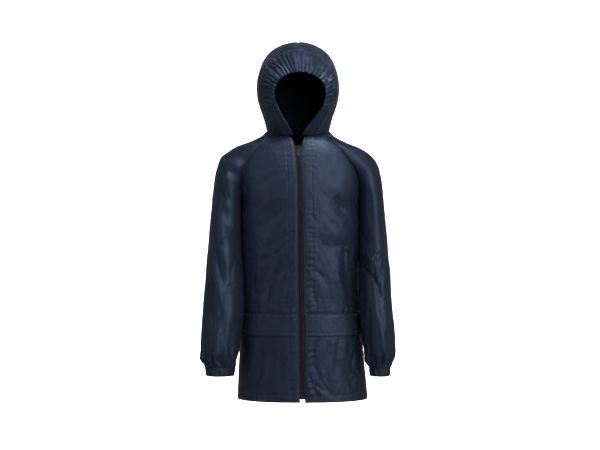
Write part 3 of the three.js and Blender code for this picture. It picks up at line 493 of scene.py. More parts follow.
def crumple(cloth, height, size, seed):
    """Small sharp-topped wrinkles that run every way, as thin coated cloth has all over."""
    x, y = cloth.across, cloth.up
    skew = clouds(x, y, size * 2.4, seed + 1) * size * 0.7
    ridges = 1 - 2 * np.abs(clouds(x + skew, y - skew, size, seed))
    fine = 1 - 2 * np.abs(clouds(x * 1.1 - skew, y * 0.8 + skew, size * 0.47, seed + 2))
    patches = 0.55 + 0.45 * clouds(x, y, size * 3.1, seed + 3)
    return -height * patches * (0.68 * ridges + 0.32 * fine)


def soft_folds(x, z, folds):
    """How deep wide folds push in. Each runs from x1, z1 to x2, z2."""
    depth = np.zeros_like(x)
    for x1, z1, x2, z2, width, deep in folds:
        run_x, run_z = x2 - x1, z2 - z1
        t = np.clip(((x - x1) * run_x + (z - z1) * run_z) / (run_x**2 + run_z**2), 0, 1)
        away = np.hypot(x - x1 - t * run_x, z - z1 - t * run_z)
        depth += deep * np.exp(-((away / width) ** 2)) * np.sin(math.pi * (0.12 + 0.76 * t))
    return depth


def creases(x, z, rows):
    """How deep crisp creases push in. Each is bowed sideways, and has a raised shoulder on one side."""
    depth = np.zeros_like(x)
    for x1, z1, x2, z2, width, deep, bow in rows:
        run_x, run_z = x2 - x1, z2 - z1
        length = math.hypot(run_x, run_z)
        share = ((x - x1) * run_x + (z - z1) * run_z) / length**2
        t = np.clip(share, 0, 1)
        aside = ((x - x1) * run_z - (z - z1) * run_x) / length - 4 * bow * t * (1 - t)
        past = np.maximum(np.abs(share - 0.5) - 0.5, 0) * length
        width = width * (0.75 + 0.5 * t)
        valley = np.exp(-(np.hypot(aside, past) / width) ** 1.5)
        shoulder = np.exp(-(((aside - 1.8 * width) / (1.3 * width)) ** 2) - (past / width) ** 2)
        depth += deep * np.sin(math.pi * (0.1 + 0.8 * t)) * (valley - 0.5 * shoulder)
    return depth


def puckers(along, away, wave, reach, height, seed):
    """Short uneven ripples that stand across a seam and die out away from it."""
    phase = 2 * math.pi * along / wave + 2.2 * wander(along, wave * 2.3, seed)
    uneven = 0.55 + 0.45 * wander(along, wave * 3.7, seed + 1)
    return height * uneven * np.sin(phase) * np.exp(-((away / reach) ** 2))


def gathers(turns, share, seed):
    """Puffs with sharp valleys between, which wander, meet and part. turns counts them along."""
    drift = 0.55 * clouds(turns * 0.8, share * 1.7, 1, seed)
    drift = drift + 0.25 * clouds(turns * 1.7, share * 3.1, 1, seed + 1)
    valley = 1 - np.abs(np.sin(math.pi * (turns + drift))) ** 0.75
    ridged = 1 - 2 * np.abs(clouds(turns * 1.25 + drift, share * 1.3, 1, seed + 2))
    uneven = 0.62 + 0.38 * clouds(turns * 0.6, share * 1.9, 1, seed + 3)
    return uneven * (1.15 * valley + 0.55 * ridged - 0.55)


def groove(away, width, depth):
    return depth * np.exp(-((away / width) ** 2))


FRONT_FOLDS = [
    (-26, -204, -70, -250, 15, 6), (-34, -140, -74, -178, 15, 4.5), (-30, -250, -86, -336, 16, 6),
    (-50, -215, -96, -290, 16, -3.5), (71, -122, 104, -160, 15, 5.5), (42, -208, 100, -236, 15, 2.6),
    (96, -222, 116, -350, 15, 6), (80, -250, 96, -350, 15, -3.5), (92, -470, 136, -530, 15, 4.5),
    (-60, -440, -110, -530, 16, 4), (-172, -84, -133, -205, 14, 8), (-182, -218, -138, -309, 15, 6),
    (-146, -330, -182, -400, 15, 4.5), (184, -236, 150, -288, 14, 7), (134, -262, 176, -344, 15, 6),
    (146, -110, 158, -200, 14, 5.5),
]
BACK_FOLDS = [
    (-70, -150, -20, -215, 17, 6), (78, -165, 30, -250, 17, 5.5), (-60, -330, 20, -372, 17, 5.5),
    (84, -300, 36, -400, 17, 4.5), (-30, -430, -64, -530, 17, 4.5), (178, -250, 146, -305, 15, 6),
    (-180, -262, -144, -330, 15, 6), (150, -90, 164, -190, 15, 5.5),
]
FRONT_CREASES = {
    RIGHT: [
        (-9, -134, -61, -178, 5, 1.8, 5), (-18, -120, -70, -150, 6, 1.2, -4),
        (-6, -191, -24, -208, 3.5, 1.6, 2), (-9, -202, -72, -250, 5, 2.6, -6),
        (-16, -224, -68, -318, 6, 2.4, 8), (-22, -234, -56, -293, 5, 1.6, -5),
        (-72, -127, -88, -162, 7, 1.5, 3), (-101, -230, -109, -350, 6, 1.8, -5),
        (-84, -258, -90, -352, 7, 1.6, 4), (-30, -290, -44, -356, 6, 1.8, 3),
        (-62, -300, -70, -357, 6, 1.2, -3), (-22, -300, -27, -358, 4, 1.2, 1),
        (-50, -412, -57, -528, 7, 1.8, 5), (-80, -415, -84, -500, 8, 1.5, -4),
        (-104, -420, -112, -525, 8, 1.6, 3), (-36, -420, -40, -480, 6, 1.1, -2),
        (-98, -90, -112, -150, 6, 1.4, 4), (-40, -70, -86, -96, 7, 1.3, -4),
    ],
    LEFT: [
        (52, -112, 60, -127, 2.5, 0.9, 1), (60, -127, 54, -138, 2.5, 0.7, 0),
        (78, -126, 94, -145, 3, 0.9, 2), (108, -128, 122, -141, 3, 0.9, -1),
        (48, -211, 66, -225, 3.5, 2.2, 2), (66, -226, 112, -222, 4, 0.9, -3),
        (95, -221, 101, -240, 4, 2.0, 1), (103, -224, 124, -326, 5, 3.2, -5),
        (112, -216, 118, -300, 4, 2.2, 3), (88, -268, 111, -322, 6, 2.4, 4),
        (28, -266, 62, -306, 6, 1.8, -5), (62, -306, 74, -352, 6, 1.4, 2),
        (30, -300, 40, -350, 5, 1.2, 2), (60, -160, 84, -184, 6, 1.3, 4),
        (30, -96, 84, -84, 8, 1.2, -4), (26, -150, 40, -176, 6, 1.0, 2),
        (36, -412, 30, -462, 6, 1.8, 3), (30, -462, 44, -500, 6, 1.5, -3),
        (62, -414, 58, -470, 6, 1.6, -3), (58, -470, 68, -520, 7, 1.4, 3),
        (84, -412, 80, -486, 6, 1.8, 3), (104, -412, 106, -470, 6, 1.8, -2),
        (116, -440, 112, -476, 4, 2.0, 2), (108, -468, 132, -492, 4, 2.2, 2),
        (104, -490, 118, -522, 4, 2.4, -2), (124, -484, 112, -506, 3.5, 1.8, 1),
        (34, -500, 62, -530, 4, 2.0, -2), (46, -494, 78, -532, 4, 1.8, 3),
        (24, -486, 40, -526, 4, 1.8, 2),
    ],
}
BACK_CREASES = [
    (-62, -96, -16, -128, 7, 1.6, 5), (58, -104, 20, -140, 7, 1.5, -5),
    (-96, -150, -52, -206, 6, 2.4, 6), (98, -160, 56, -214, 6, 2.2, -6),
    (-84, -190, -36, -262, 7, 2.0, -7), (92, -228, 44, -300, 6, 2.2, 7),
    (-100, -262, -60, -330, 6, 2.0, 5), (104, -280, 74, -356, 6, 2.0, -5),
    (-26, -236, 8, -300, 8, 1.6, 6), (-108, -340, -80, -400, 6, 1.8, -4),
    (22, -330, 58, -392, 7, 1.6, 5), (-14, -390, -22, -500, 8, 1.8, 5),
    (40, -400, 52, -528, 8, 1.8, -6), (-76, -410, -90, -528, 8, 1.9, 5),
    (98, -400, 108, -520, 7, 2.0, 4), (72, -440, 80, -530, 7, 1.3, -3),
    (-48, -440, -40, -530, 7, 1.4, 3), (8, -450, 14, -532, 7, 1.3, 2),
    (-114, -196, -100, -230, 4, 1.8, 2), (116, -200, 104, -240, 4, 1.8, -2),
    (-30, -176, 34, -186, 8, 1.0, 4),
]
SLEEVE_CREASES = {
    (RIGHT, "front"): [
        (-164, -20, -108, -46, 8, 2.6, -5), (-172, -58, -118, -86, 8, 2.8, -5),
        (-168, -40, -114, -66, 7, -1.8, -4), (-150, -84, -126, -150, 6, 2.6, 5),
        (-174, -104, -140, -140, 6, 1.6, -3), (-166, -198, -142, -194, 5, 1.4, 4),
        (-168, -220, -148, -224, 5, 1.8, -3), (-169, -228, -146, -304, 6, 3.2, 7),
        (-146, -306, -126, -298, 4, 2.0, 2), (-156, -298, -142, -355, 7, 2.2, -4),
        (-178, -300, -170, -400, 8, 2.0, 5), (-186, -240, -180, -330, 7, 1.6, 3),
        (-162, -330, -158, -420, 7, 1.8, -4), (-146, -360, -148, -440, 6, 1.8, 3),
        (-132, -250, -134, -300, 5, 1.6, 2),
    ],
    (LEFT, "front"): [
        (150, -90, 170, -100, 7, 1.5, 3), (128, -96, 140, -60, 7, 1.4, -4),
        (140, -180, 164, -236, 7, 2.6, 6), (166, -235, 150, -290, 4, 3.0, 3),
        (188, -240, 156, -290, 4, 3.4, -4), (132, -192, 140, -224, 5, 2.2, -2),
        (140, -224, 164, -240, 4, 2.6, 2), (136, -230, 168, -262, 4, 2.2, -3),
        (132, -264, 166, -300, 5, 2.6, 4), (154, -292, 170, -330, 5, 3.0, -3),
        (186, -262, 160, -318, 5, 1.8, 3), (168, -330, 178, -376, 6, 2.0, 3),
        (184, -300, 190, -380, 7, 1.6, -3), (146, -340, 152, -420, 6, 2.0, 4),
        (176, -390, 182, -440, 6, 2.2, -3), (162, -380, 166, -440, 6, 2.0, 2),
        (160, -140, 176, -200, 8, 1.5, -4), (132, -300, 136, -350, 5, 1.8, 2),
    ],
    (RIGHT, "back"): [
        (-170, -60, -126, -96, 8, 2.2, 5), (-176, -110, -140, -150, 7, 2.0, -4),
        (-184, -236, -146, -270, 6, 2.6, 5), (-186, -262, -140, -310, 6, 2.4, -6),
        (-150, -300, -160, -370, 7, 2.0, 4), (-180, -330, -174, -430, 8, 2.0, -4),
        (-160, -380, -156, -440, 6, 2.0, 3), (-140, -200, -146, -240, 6, 1.6, 2),
    ],
    (LEFT, "back"): [
        (168, -56, 124, -92, 8, 2.2, -5), (174, -112, 140, -156, 7, 2.2, 4),
        (186, -226, 150, -262, 6, 2.6, -5), (184, -270, 142, -300, 6, 2.2, 5),
        (150, -310, 164, -380, 7, 2.2, -4), (184, -340, 178, -430, 8, 1.8, 4),
        (160, -390, 158, -440, 6, 2.0, -3), (144, -210, 148, -250, 6, 1.6, -2),
    ],
}
print("soft folds:", len(FRONT_FOLDS) + len(BACK_FOLDS))

# %% [markdown]
# ## Finishes
# The cloth is a dark navy nylon with a coating on its inner face. Its outer face has the satin gloss of a
# smooth filament weave, so it needs a broad sharp-edged highlight more than a strong colour. The weave
# itself is finer than the eye sees from a step away and is only bump, read from each panel's own UV map.

# %% Node helpers
def add_node(tree, kind, values=None, **settings):
    node = tree.nodes.new(kind)
    for name, value in settings.items():
        setattr(node, name, value)
    for name, value in (values or {}).items():
        node.inputs[name].default_value = value
    return node


def shaded(name, color, roughness, metallic=0, **sockets):
    """A new material, its node tree and its shader, with what is even all over set on the shader."""
    material = bpy.data.materials.new(name)
    material.use_nodes = True
    tree = material.node_tree
    shader = tree.nodes["Principled BSDF"]
    shader.inputs["Base Color"].default_value = (*color, 1)
    shader.inputs["Roughness"].default_value = roughness
    shader.inputs["Metallic"].default_value = metallic
    for socket, value in sockets.items():
        shader.inputs[socket.replace("_", " ")].default_value = value
    return material, tree, shader


def vary(tree, source, socket, low, high, color=False):
    """Turns a height from 0 to 1 into a colour or number between two, for a shader's socket."""
    ramp = add_node(tree, "ShaderNodeValToRGB")
    ramp.color_ramp.elements[0].position, ramp.color_ramp.elements[1].position = 0.3, 0.7
    for element, value in zip(ramp.color_ramp.elements, (low, high)):
        element.color = (*value, 1) if color else (value, value, value, 1)
    tree.links.new(source, ramp.inputs["Fac"])
    tree.links.new(ramp.outputs["Color"], socket)


def bump_chain(tree, shader, layers):
    """Bumps one on top of the other. Each layer is a height, its strength and its depth in metres."""
    last = None
    for height, strength, distance in layers:
        bump = add_node(tree, "ShaderNodeBump", {"Strength": strength, "Distance": distance})
        tree.links.new(height, bump.inputs["Height"])
        if last:
            tree.links.new(last.outputs["Normal"], bump.inputs["Normal"])
        last = bump
    tree.links.new(last.outputs["Normal"], shader.inputs["Normal"])


def weave(tree, place, thread):
    """Over and under threads that far apart, from two crossing waves."""
    waves = []
    for direction in ("X", "Y"):
        scale = 2 * math.pi / (20 * thread * MM * 2)
        values = {"Scale": scale, "Distortion": 0}
        wave = add_node(tree, "ShaderNodeTexWave", values, bands_direction=direction)
        tree.links.new(place, wave.inputs["Vector"])
        waves.append(wave.outputs["Fac"])
    crossed = add_node(tree, "ShaderNodeMath", operation="MULTIPLY")
    for wave, socket in zip(waves, crossed.inputs):
        tree.links.new(wave, socket)
    return crossed.outputs["Value"]


def noise(tree, place, scale, detail=3):
    texture = add_node(tree, "ShaderNodeTexNoise", {"Scale": scale, "Detail": detail, "Roughness": 0.55})
    tree.links.new(place, texture.inputs["Vector"])
    return texture.outputs["Fac"]


def creased(tree, source):
    """Turns a soft noise into one with sharp valleys, as crisp thin cloth has."""
    middle = add_node(tree, "ShaderNodeMath", {1: 0.5}, operation="SUBTRACT")
    tree.links.new(source, middle.inputs[0])
    size = add_node(tree, "ShaderNodeMath", operation="ABSOLUTE")
    tree.links.new(middle.outputs["Value"], size.inputs[0])
    return size.outputs["Value"]


# %% Nylon, lining and thread
NAVY_LOW, NAVY_HIGH = (0.0085, 0.0125, 0.0235), (0.0125, 0.018, 0.033)


def make_nylon():
    material, tree, shader = shaded(
        "coated_nylon", NAVY_HIGH, 0.4, IOR=1.5, Sheen_Weight=0.03, Sheen_Roughness=0.4,
        Sheen_Tint=(0.6, 0.76, 1.0, 1), Specular_Tint=(0.6, 0.76, 1.0, 1), Coat_Weight=0.04,
        Coat_Roughness=0.3,
    )
    places = add_node(tree, "ShaderNodeTexCoord")
    soft = noise(tree, places.outputs["Object"], 22)
    wrinkle = noise(tree, places.outputs["Object"], 75, 4)
    crinkle = creased(tree, noise(tree, places.outputs["Object"], 38, 2))
    vary(tree, soft, shader.inputs["Base Color"], NAVY_LOW, NAVY_HIGH, color=True)
    vary(tree, wrinkle, shader.inputs["Roughness"], 0.44, 0.54)
    threads = weave(tree, places.outputs["UV"], 0.45)
    bump_chain(tree, shader, [(crinkle, 0.6, 0.0034), (wrinkle, 0.4, 0.0011), (threads, 0.35, 0.00008)])
    return material


def make_lining():
    material, tree, shader = shaded("nylon_inside", (0.004, 0.005, 0.008), 0.7, IOR=1.4)
    places = add_node(tree, "ShaderNodeTexCoord")
    soft = noise(tree, places.outputs["Object"], 30)
    vary(tree, soft, shader.inputs["Base Color"], (0.003, 0.004, 0.006), (0.006, 0.007, 0.011), color=True)
    bump_chain(tree, shader, [(soft, 0.4, 0.002), (weave(tree, places.outputs["UV"], 0.45), 0.3, 0.0001)])
    return material


def make_thread():
    material, tree, shader = shaded(
        "navy_thread", (0.016, 0.022, 0.038), 0.55, Sheen_Weight=0.3, Specular_Tint=(0.7, 0.82, 1, 1)
    )
    places = add_node(tree, "ShaderNodeTexCoord")
    fuzz = noise(tree, places.outputs["Object"], 900)
    vary(tree, fuzz, shader.inputs["Base Color"], (0.012, 0.017, 0.03), (0.022, 0.029, 0.048), color=True)
    bump_chain(tree, shader, [(fuzz, 0.4, 0.0001)])
    return material


def make_tape_finish():
    material, tree, shader = shaded("zip_tape_weave", (0.006, 0.008, 0.014), 0.7, Sheen_Weight=0.1)
    places = add_node(tree, "ShaderNodeTexCoord")
    turn = add_node(tree, "ShaderNodeMapping")
    turn.inputs["Rotation"].default_value = (math.radians(90), math.radians(45), 0)
    tree.links.new(places.outputs["Object"], turn.inputs["Vector"])
    threads = weave(tree, turn.outputs["Vector"], 0.5)
    dark, light = (0.004, 0.0055, 0.011), (0.009, 0.012, 0.022)
    vary(tree, threads, shader.inputs["Base Color"], dark, light, color=True)
    bump_chain(tree, shader, [(threads, 0.7, 0.0002)])
    return material


def make_plastic(name, color, roughness):
    material, tree, shader = shaded(name, color, roughness, IOR=1.5)
    places = add_node(tree, "ShaderNodeTexCoord")
    grain = noise(tree, places.outputs["Object"], 1400)
    vary(tree, grain, shader.inputs["Roughness"], roughness - 0.06, roughness + 0.08)
    bump_chain(tree, shader, [(grain, 0.2, 0.00005)])
    return material


def make_metal():
    material, tree, shader = shaded("zip_enamel", (0.03, 0.031, 0.042), 0.38, metallic=0.7, Coat_Weight=0.2)
    places = add_node(tree, "ShaderNodeTexCoord")
    wear = noise(tree, places.outputs["Object"], 420, 5)
    vary(tree, wear, shader.inputs["Base Color"], (0.022, 0.023, 0.033), (0.045, 0.046, 0.06), color=True)
    vary(tree, wear, shader.inputs["Roughness"], 0.3, 0.46)
    bump_chain(tree, shader, [(wear, 0.25, 0.00008)])
    return material


NYLON, LINING, THREAD = make_nylon(), make_lining(), make_thread()
TAPE_WEAVE, METAL = make_tape_finish(), make_metal()
TEETH_PLASTIC = make_plastic("zip_teeth_plastic", (0.006, 0.0068, 0.011), 0.42)
print("materials:", len(bpy.data.materials))

# %% [markdown]
# ## Turning a panel in and making it a shell
# At a seam the real edge turns inwards and is sewn to its neighbour's, so each panel gets a narrow
# turned strip there. It hides the hair's width between two panels, and the rounded corner draws the seam.
# Then the grid becomes a mesh, and the Solidify modifier gives it the thickness of cloth.

# %% Seams that neighbours share
CLOTH_THICK = 0.5
SEAM_TURN, ZIP_TURN, SEAM_DIP = 3.0, 1.5, 0.9
EDGES = {"start": (1, 0), "end": (1, -1), "bottom": (0, 0), "top": (0, -1)}
SEWN = {
    "front_left": "end top", "front_right": "end top", "back": "start end top",
    "sleeve_left": "start end top", "sleeve_right": "start end top",
    "hood_left": "start end bottom", "hood_right": "start end bottom", "hood_band": "start bottom top",
}
panels = make_panels()
sewn_edges = [(name, edge) for name, edges in SEWN.items() for edge in edges.split()]


def edge_of(values, edge):
    axis, at = EDGES[edge]
    return values.take([at], axis=axis)


def seam_directions():
    """At each sewn edge, the direction out that its panel shares with the panels beside it."""
    points = {key: edge_of(panels[key[0]].base, key[1]) for key in sewn_edges}
    normals = {key: edge_of(panels[key[0]].base_normal, key[1]) for key in sewn_edges}
    shared = {}
    for key in sewn_edges:
        place, total = points[key].reshape(-1, 3), normals[key].reshape(-1, 3).copy()
        for other in sewn_edges:
            if other != key:
                apart = np.linalg.norm(place[:, None] - points[other].reshape(1, -1, 3), axis=2)
                beside = apart.min(axis=1) < 2.6
                total += normals[other].reshape(-1, 3)[apart.argmin(axis=1)] * beside[:, None]
        total /= np.maximum(np.linalg.norm(total, axis=1, keepdims=True), 1e-9)
        shared[key] = total.reshape(points[key].shape)
    return shared


SHARED = seam_directions()


def settle(cloth, name, edge):
    """Draws the cloth beside a sewn edge down to the line where both panels meet."""
    line, out = edge_of(cloth.base, edge), SHARED[name, edge]
    dip = SEAM_DIP + 0.4 * clouds(line[..., 0] + 0.7 * line[..., 1], line[..., 2], 8, 3)
    away = {"start": cloth.across, "end": cloth.to_end, "bottom": cloth.up, "top": cloth.to_top}[edge]
    shift = line - out * dip[..., None] - edge_of(cloth.points, edge)
    cloth.points = cloth.points + np.exp(-((away / 3.2) ** 2))[..., None] * shift
    cloth.refresh()


# %% Panels to meshes
def turn_in(cloth, name, points, places, turns):
    """The grid with two more lines past each named edge, turned inwards, and its UV places with them."""
    added = [0, 0]
    for edge, depth in turns.items():
        axis, at = EDGES[edge]
        out = SHARED.get((name, edge), edge_of(cloth.base_normal, edge))
        inner = cloth.base.take([at - 2 if at else 2], axis=axis)
        past = edge_of(cloth.base, edge) - inner
        past = past - out * (past * out).sum(axis=2, keepdims=True)
        past /= np.maximum(np.linalg.norm(past, axis=2, keepdims=True), 1e-9)
        low = added[1 - axis]
        pad = [(0, 0), (0, 0), (0, 0)]
        pad[1 - axis] = (low, points.shape[1 - axis] - out.shape[1 - axis] - low)
        out, past = np.pad(out, pad, mode="edge"), np.pad(past, pad, mode="edge")
        line, place = edge_of(points, edge), edge_of(places, edge)
        aside = np.eye(2)[1 - axis] * (1 if at else -1)
        lean = min(0.26, depth * 0.1)
        steps = [0.3, 1.0] if at else [1.0, 0.3]
        lines = [line - out * depth * share + past * lean * share for share in steps]
        uvs = [place + aside * depth * share for share in steps]
        points = np.concatenate([points, *lines] if at else [*lines, points], axis=axis)
        places = np.concatenate([places, *uvs] if at else [*uvs, places], axis=axis)
        added[axis] += 0 if at else 2
    return points, places


def grid_mesh(name, points, places, finishes, backwards):
    rows, columns = points.shape[:2]
    index = np.arange(rows * columns).reshape(rows, columns)
    corners = [index[:-1, :-1], index[:-1, 1:], index[1:, 1:], index[1:, :-1]]
    if backwards:
        corners.reverse()
    quads = np.stack(corners, axis=-1).reshape(-1, 4)
    mesh = bpy.data.meshes.new(name)
    mesh.from_pydata((points.reshape(-1, 3) * MM).tolist(), [], quads.tolist())
    layer = mesh.uv_layers.new(name="cloth")
    layer.data.foreach_set("uv", (places.reshape(-1, 2)[quads.ravel()] * MM).astype(np.float32).ravel())
    for finish in finishes:
        mesh.materials.append(finish)
    mesh.shade_smooth()
    piece = bpy.data.objects.new(name, mesh)
    bpy.context.scene.collection.objects.link(piece)
    return piece


def apply_modifiers(piece):
    bpy.ops.object.select_all(action="DESELECT")
    bpy.context.view_layer.objects.active = piece
    piece.select_set(True)
    for modifier in list(piece.modifiers):
        bpy.ops.object.modifier_apply(modifier=modifier.name)


def make_shell(name, cloth, turns, roll=None):
    """A panel as a thin closed shell. turns gives the depth of each turned edge by its name."""
    for edge in SEWN.get(name, "").split():
        settle(cloth, name, edge)
    run, rise = np.diff(cloth.base, axis=1)[:-1], np.diff(cloth.base, axis=0)[:, :-1]
    backwards = (np.cross(run, rise) * cloth.base_normal[:-1, :-1]).sum() < 0
    points, places = cloth.points, np.stack([cloth.across - cloth.across.max() / 2, cloth.up], axis=2)
    if roll:
        points, places = roll(cloth, points, places)
    points, places = turn_in(cloth, name, points, places, turns)
    piece = grid_mesh(f"cloth_{name}", points, places, (NYLON, LINING), backwards)
    shell = piece.modifiers.new("thickness", "SOLIDIFY")
    shell.thickness, shell.offset, shell.material_offset = CLOTH_THICK * MM, -1, 1
    apply_modifiers(piece)
    width, length, area = cloth.flat()
    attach(piece, COAT)
    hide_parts(name)
    triangles = sum(len(p.vertices) - 2 for p in piece.data.polygons)
    print(name, "triangles:", triangles, "flat:", width, length, round(area, 4))
    return piece


def edge_line(cloth, edge, distance):
    """Points and directions along a line that far inside an edge."""
    if edge in ("start", "end"):
        away = cloth.across if edge == "start" else cloth.to_end
        lines = zip(away, cloth.points, cloth.normal)
    else:
        away = cloth.up if edge == "bottom" else cloth.to_top
        lines = zip(away.T, cloth.points.transpose(1, 0, 2), cloth.normal.transpose(1, 0, 2))
    found = []
    for reach, points, normal in lines:
        if edge in ("end", "top"):
            reach, points, normal = reach[::-1], points[::-1], normal[::-1]
        if reach[-1] < distance:
            continue
        found.append([[np.interp(distance, reach, v[:, k]) for k in range(3)] for v in (points, normal)])
    return np.array(found)[:, 0], np.array(found)[:, 1]


# %% [markdown]
# ## Stitches
# Each seam is topstitched with a thread of the cloth's own colour. One stitch is modelled as a low bead
# with pointed ends, and a loop lays copies of it along the sewn lines, a little over three millimetres
# apart, all in one mesh for each group of seams.

# %% The stitch and the sewing loop
STITCH = {"pitch": 3.3, "length": 2.7, "width": 0.62, "height": 0.4}
bpy.ops.object.select_all(action="DESELECT")
bpy.ops.mesh.primitive_uv_sphere_add(segments=6, ring_count=4, radius=0.5)
stitch_master = bpy.context.object
stitch_master.rotation_euler = (0, math.radians(90), 0)
bpy.ops.object.transform_apply(rotation=True)
STITCH_POINTS = np.array([v.co for v in stitch_master.data.vertices])
STITCH_POINTS *= [STITCH["length"], STITCH["width"], STITCH["height"]]
STITCH_FACES = [list(p.vertices) for p in stitch_master.data.polygons]
bpy.data.objects.remove(stitch_master)
sewn_lines = {}


def sew(group, points, normal, pitch=STITCH["pitch"]):
    """Notes a line of stitches for a group. They are all made into one mesh later."""
    along = np.concatenate([[0], np.cumsum(np.linalg.norm(np.diff(points, axis=0), axis=1))])
    at = np.arange(pitch / 2, along[-1], pitch)
    place, out = ([np.interp(at, along, v[:, k]) for k in range(3)] for v in (points, normal))
    ahead = [np.interp(at + 0.6, along, points[:, k]) - np.interp(at - 0.6, along, points[:, k])
             for k in range(3)]
    sewn_lines.setdefault(group, []).append(tuple(np.array(v).T for v in (place, out, ahead)))


def make_stitches():
    for group, lines in sewn_lines.items():
        place, out, ahead = (np.concatenate([line[k] for line in lines]) for k in range(3))
        ahead /= np.maximum(np.linalg.norm(ahead, axis=1, keepdims=True), 1e-9)
        aside = np.cross(out, ahead)
        aside /= np.maximum(np.linalg.norm(aside, axis=1, keepdims=True), 1e-9)
        up = np.cross(ahead, aside)
        turns = np.stack([ahead, aside, up], axis=1)
        points = np.einsum("pk,skc->spc", STITCH_POINTS, turns) + place[:, None] + up[:, None] * 0.05
        count = len(STITCH_POINTS)
        faces = [[v + s * count for v in face] for s in range(len(place)) for face in STITCH_FACES]
        mesh = bpy.data.meshes.new(group)
        mesh.from_pydata((points.reshape(-1, 3) * MM).tolist(), [], faces)
        mesh.materials.append(THREAD)
        mesh.shade_smooth()
        piece = bpy.data.objects.new(group, mesh)
        bpy.context.scene.collection.objects.link(piece)
        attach(piece, COAT)
        print(group, "stitches:", len(place))


# %% [markdown]
# ## The two fronts
# A front is cut from the zip to the side seam and, above the underarm, to the slanting raglan seam. A
# facing is sewn behind its zip edge, and the stitch line nineteen millimetres in draws the cloth into
# short slanting ripples, strongest below the waist. The hem is turned up and stitched once.

# %% Fronts
FACING_LINE, EDGE_LINE, HEM_LINE, SEAM_LINE = 19, 2.2, 14, 2.4
FOLD_FADE, ROW_FADE = 20, 19
RIPPLES = table("z left right", [
    (-540, 1.0, 0.9), (-470, 0.95, 1.0), (-425, 0.6, 1.0), (-405, 0.25, 0.35), (-361, 0.2, 0.3),
    (-330, 0.3, 0.55), (-300, 0.6, 0.5), (-272, 1.0, 0.35), (-244, 0.6, 0.3), (-200, 0.2, 0.35),
    (-120, 0.2, 0.2), (-40, 0.35, 0.35), (3, 0.5, 0.5),
])


def edge_fade(cloth, reach):
    """1 well inside a panel, and 0 at its seams."""
    side = np.minimum(cloth.across, cloth.to_end)
    ends = np.minimum(cloth.up, cloth.to_top)
    return np.minimum(side / reach, 1) * np.minimum(ends / ROW_FADE, 1)


def make_front(side):
    name = "front_left" if side == LEFT else "front_right"
    cloth = panels[name]
    x, z = cloth.base[..., 0], cloth.base[..., 2]
    cloth.push(soft_folds(x, z, FRONT_FOLDS) * edge_fade(cloth, FOLD_FADE))
    form = cloth.points.copy()
    under_flap = np.exp(-(((z - (FLAP_TOP + FLAP_BOTTOM) / 2) / 30) ** 4))
    free = np.minimum(edge_fade(cloth, 7) * 1.2, 1) * (1 - 0.75 * under_flap)
    depth = creases(x, z, FRONT_CREASES[side]) * free
    depth += crumple(cloth, 0.6, 30, 11 + side) * free
    strength = smooth(RIPPLES, "z", "left" if side == LEFT else "right", z)
    slant = 0.75 if side == RIGHT else -0.45
    within = np.exp(-(((cloth.across - 11) / 8.5) ** 2))
    wave = 2 * math.pi * (z + slant * cloth.across) / 15 + 2.4 * wander(z, 24, 21 + side)
    depth += 1.25 * strength * within * np.sin(wave) * (0.6 + 0.4 * wander(z, 31, 31 + side))
    depth += groove(cloth.across - FACING_LINE, 1.5, 0.45) + groove(cloth.across - EDGE_LINE, 1.2, 0.35)
    depth += puckers(z, cloth.across - FACING_LINE, 11, 9, 0.45, 41 + side)
    depth += groove(cloth.up - HEM_LINE, 1.5, 0.5)
    depth += puckers(cloth.across, cloth.up - HEM_LINE, 13, 9, 0.4, 51)
    depth += groove(z - FLAP_TOP - 1.5, 1.8, 1.3) * np.minimum(cloth.across / 4, 1)
    depth += puckers(cloth.across, z - FLAP_TOP - 6, 17, 16, 0.8, 55 + side) * (z > FLAP_TOP)
    above = z > UNDERARM
    depth += groove(cloth.to_end - SEAM_LINE, 1.1, 0.25) * above
    depth += puckers(cloth.up, cloth.to_end - 5, 12, 7, 0.5, 61 + side) * (0.2 + 0.8 * above)
    depth += groove(cloth.to_top, 2.2, 0.8) + puckers(cloth.across, cloth.to_top - 5, 11, 8, 0.5, 71 + side)
    cloth.push(depth)
    turns = {"start": ZIP_TURN, "end": SEAM_TURN, "bottom": 2.2, "top": SEAM_TURN}
    make_shell(name, cloth, turns)
    group = f"stitches_{name}"
    sew(group, *edge_line(cloth, "start", FACING_LINE))
    sew(group, *edge_line(cloth, "start", EDGE_LINE))
    sew(group, *edge_line(cloth, "bottom", HEM_LINE))
    seam_points, seam_normal = edge_line(cloth, "end", SEAM_LINE)
    raglan_part = seam_points[:, 2] > UNDERARM
    sew(group, seam_points[raglan_part], seam_normal[raglan_part])
    return cloth, form


fronts = {side: make_front(side) for side in (LEFT, RIGHT)}

# %% [markdown]
# ## The pocket flaps
# A long flap covers each waist pocket, from the zip to the side seam. Its top edge is sewn into a seam
# across the front and its lower edge hangs free. It is taken from the front's own points, moved out, so
# it follows the same body.

# %% Flaps
FLAP_FROM_ZIP, FLAP_LIFT, FLAP_HANG = 2.5, 2.0, 1.1
FLAP_LINES = {"start": 3.0, "bottom": 6.5, "top": 3.2}


def rows_between(points, heights, low, high, count):
    """Rows of a grid again at even heights between two, where each row is level."""
    at = np.interp(np.linspace(low, high, count), heights, np.arange(len(heights)))
    i = np.minimum(np.floor(at).astype(int), len(heights) - 2)
    return mix(points[i], points[i + 1], (at - i)[:, None, None])


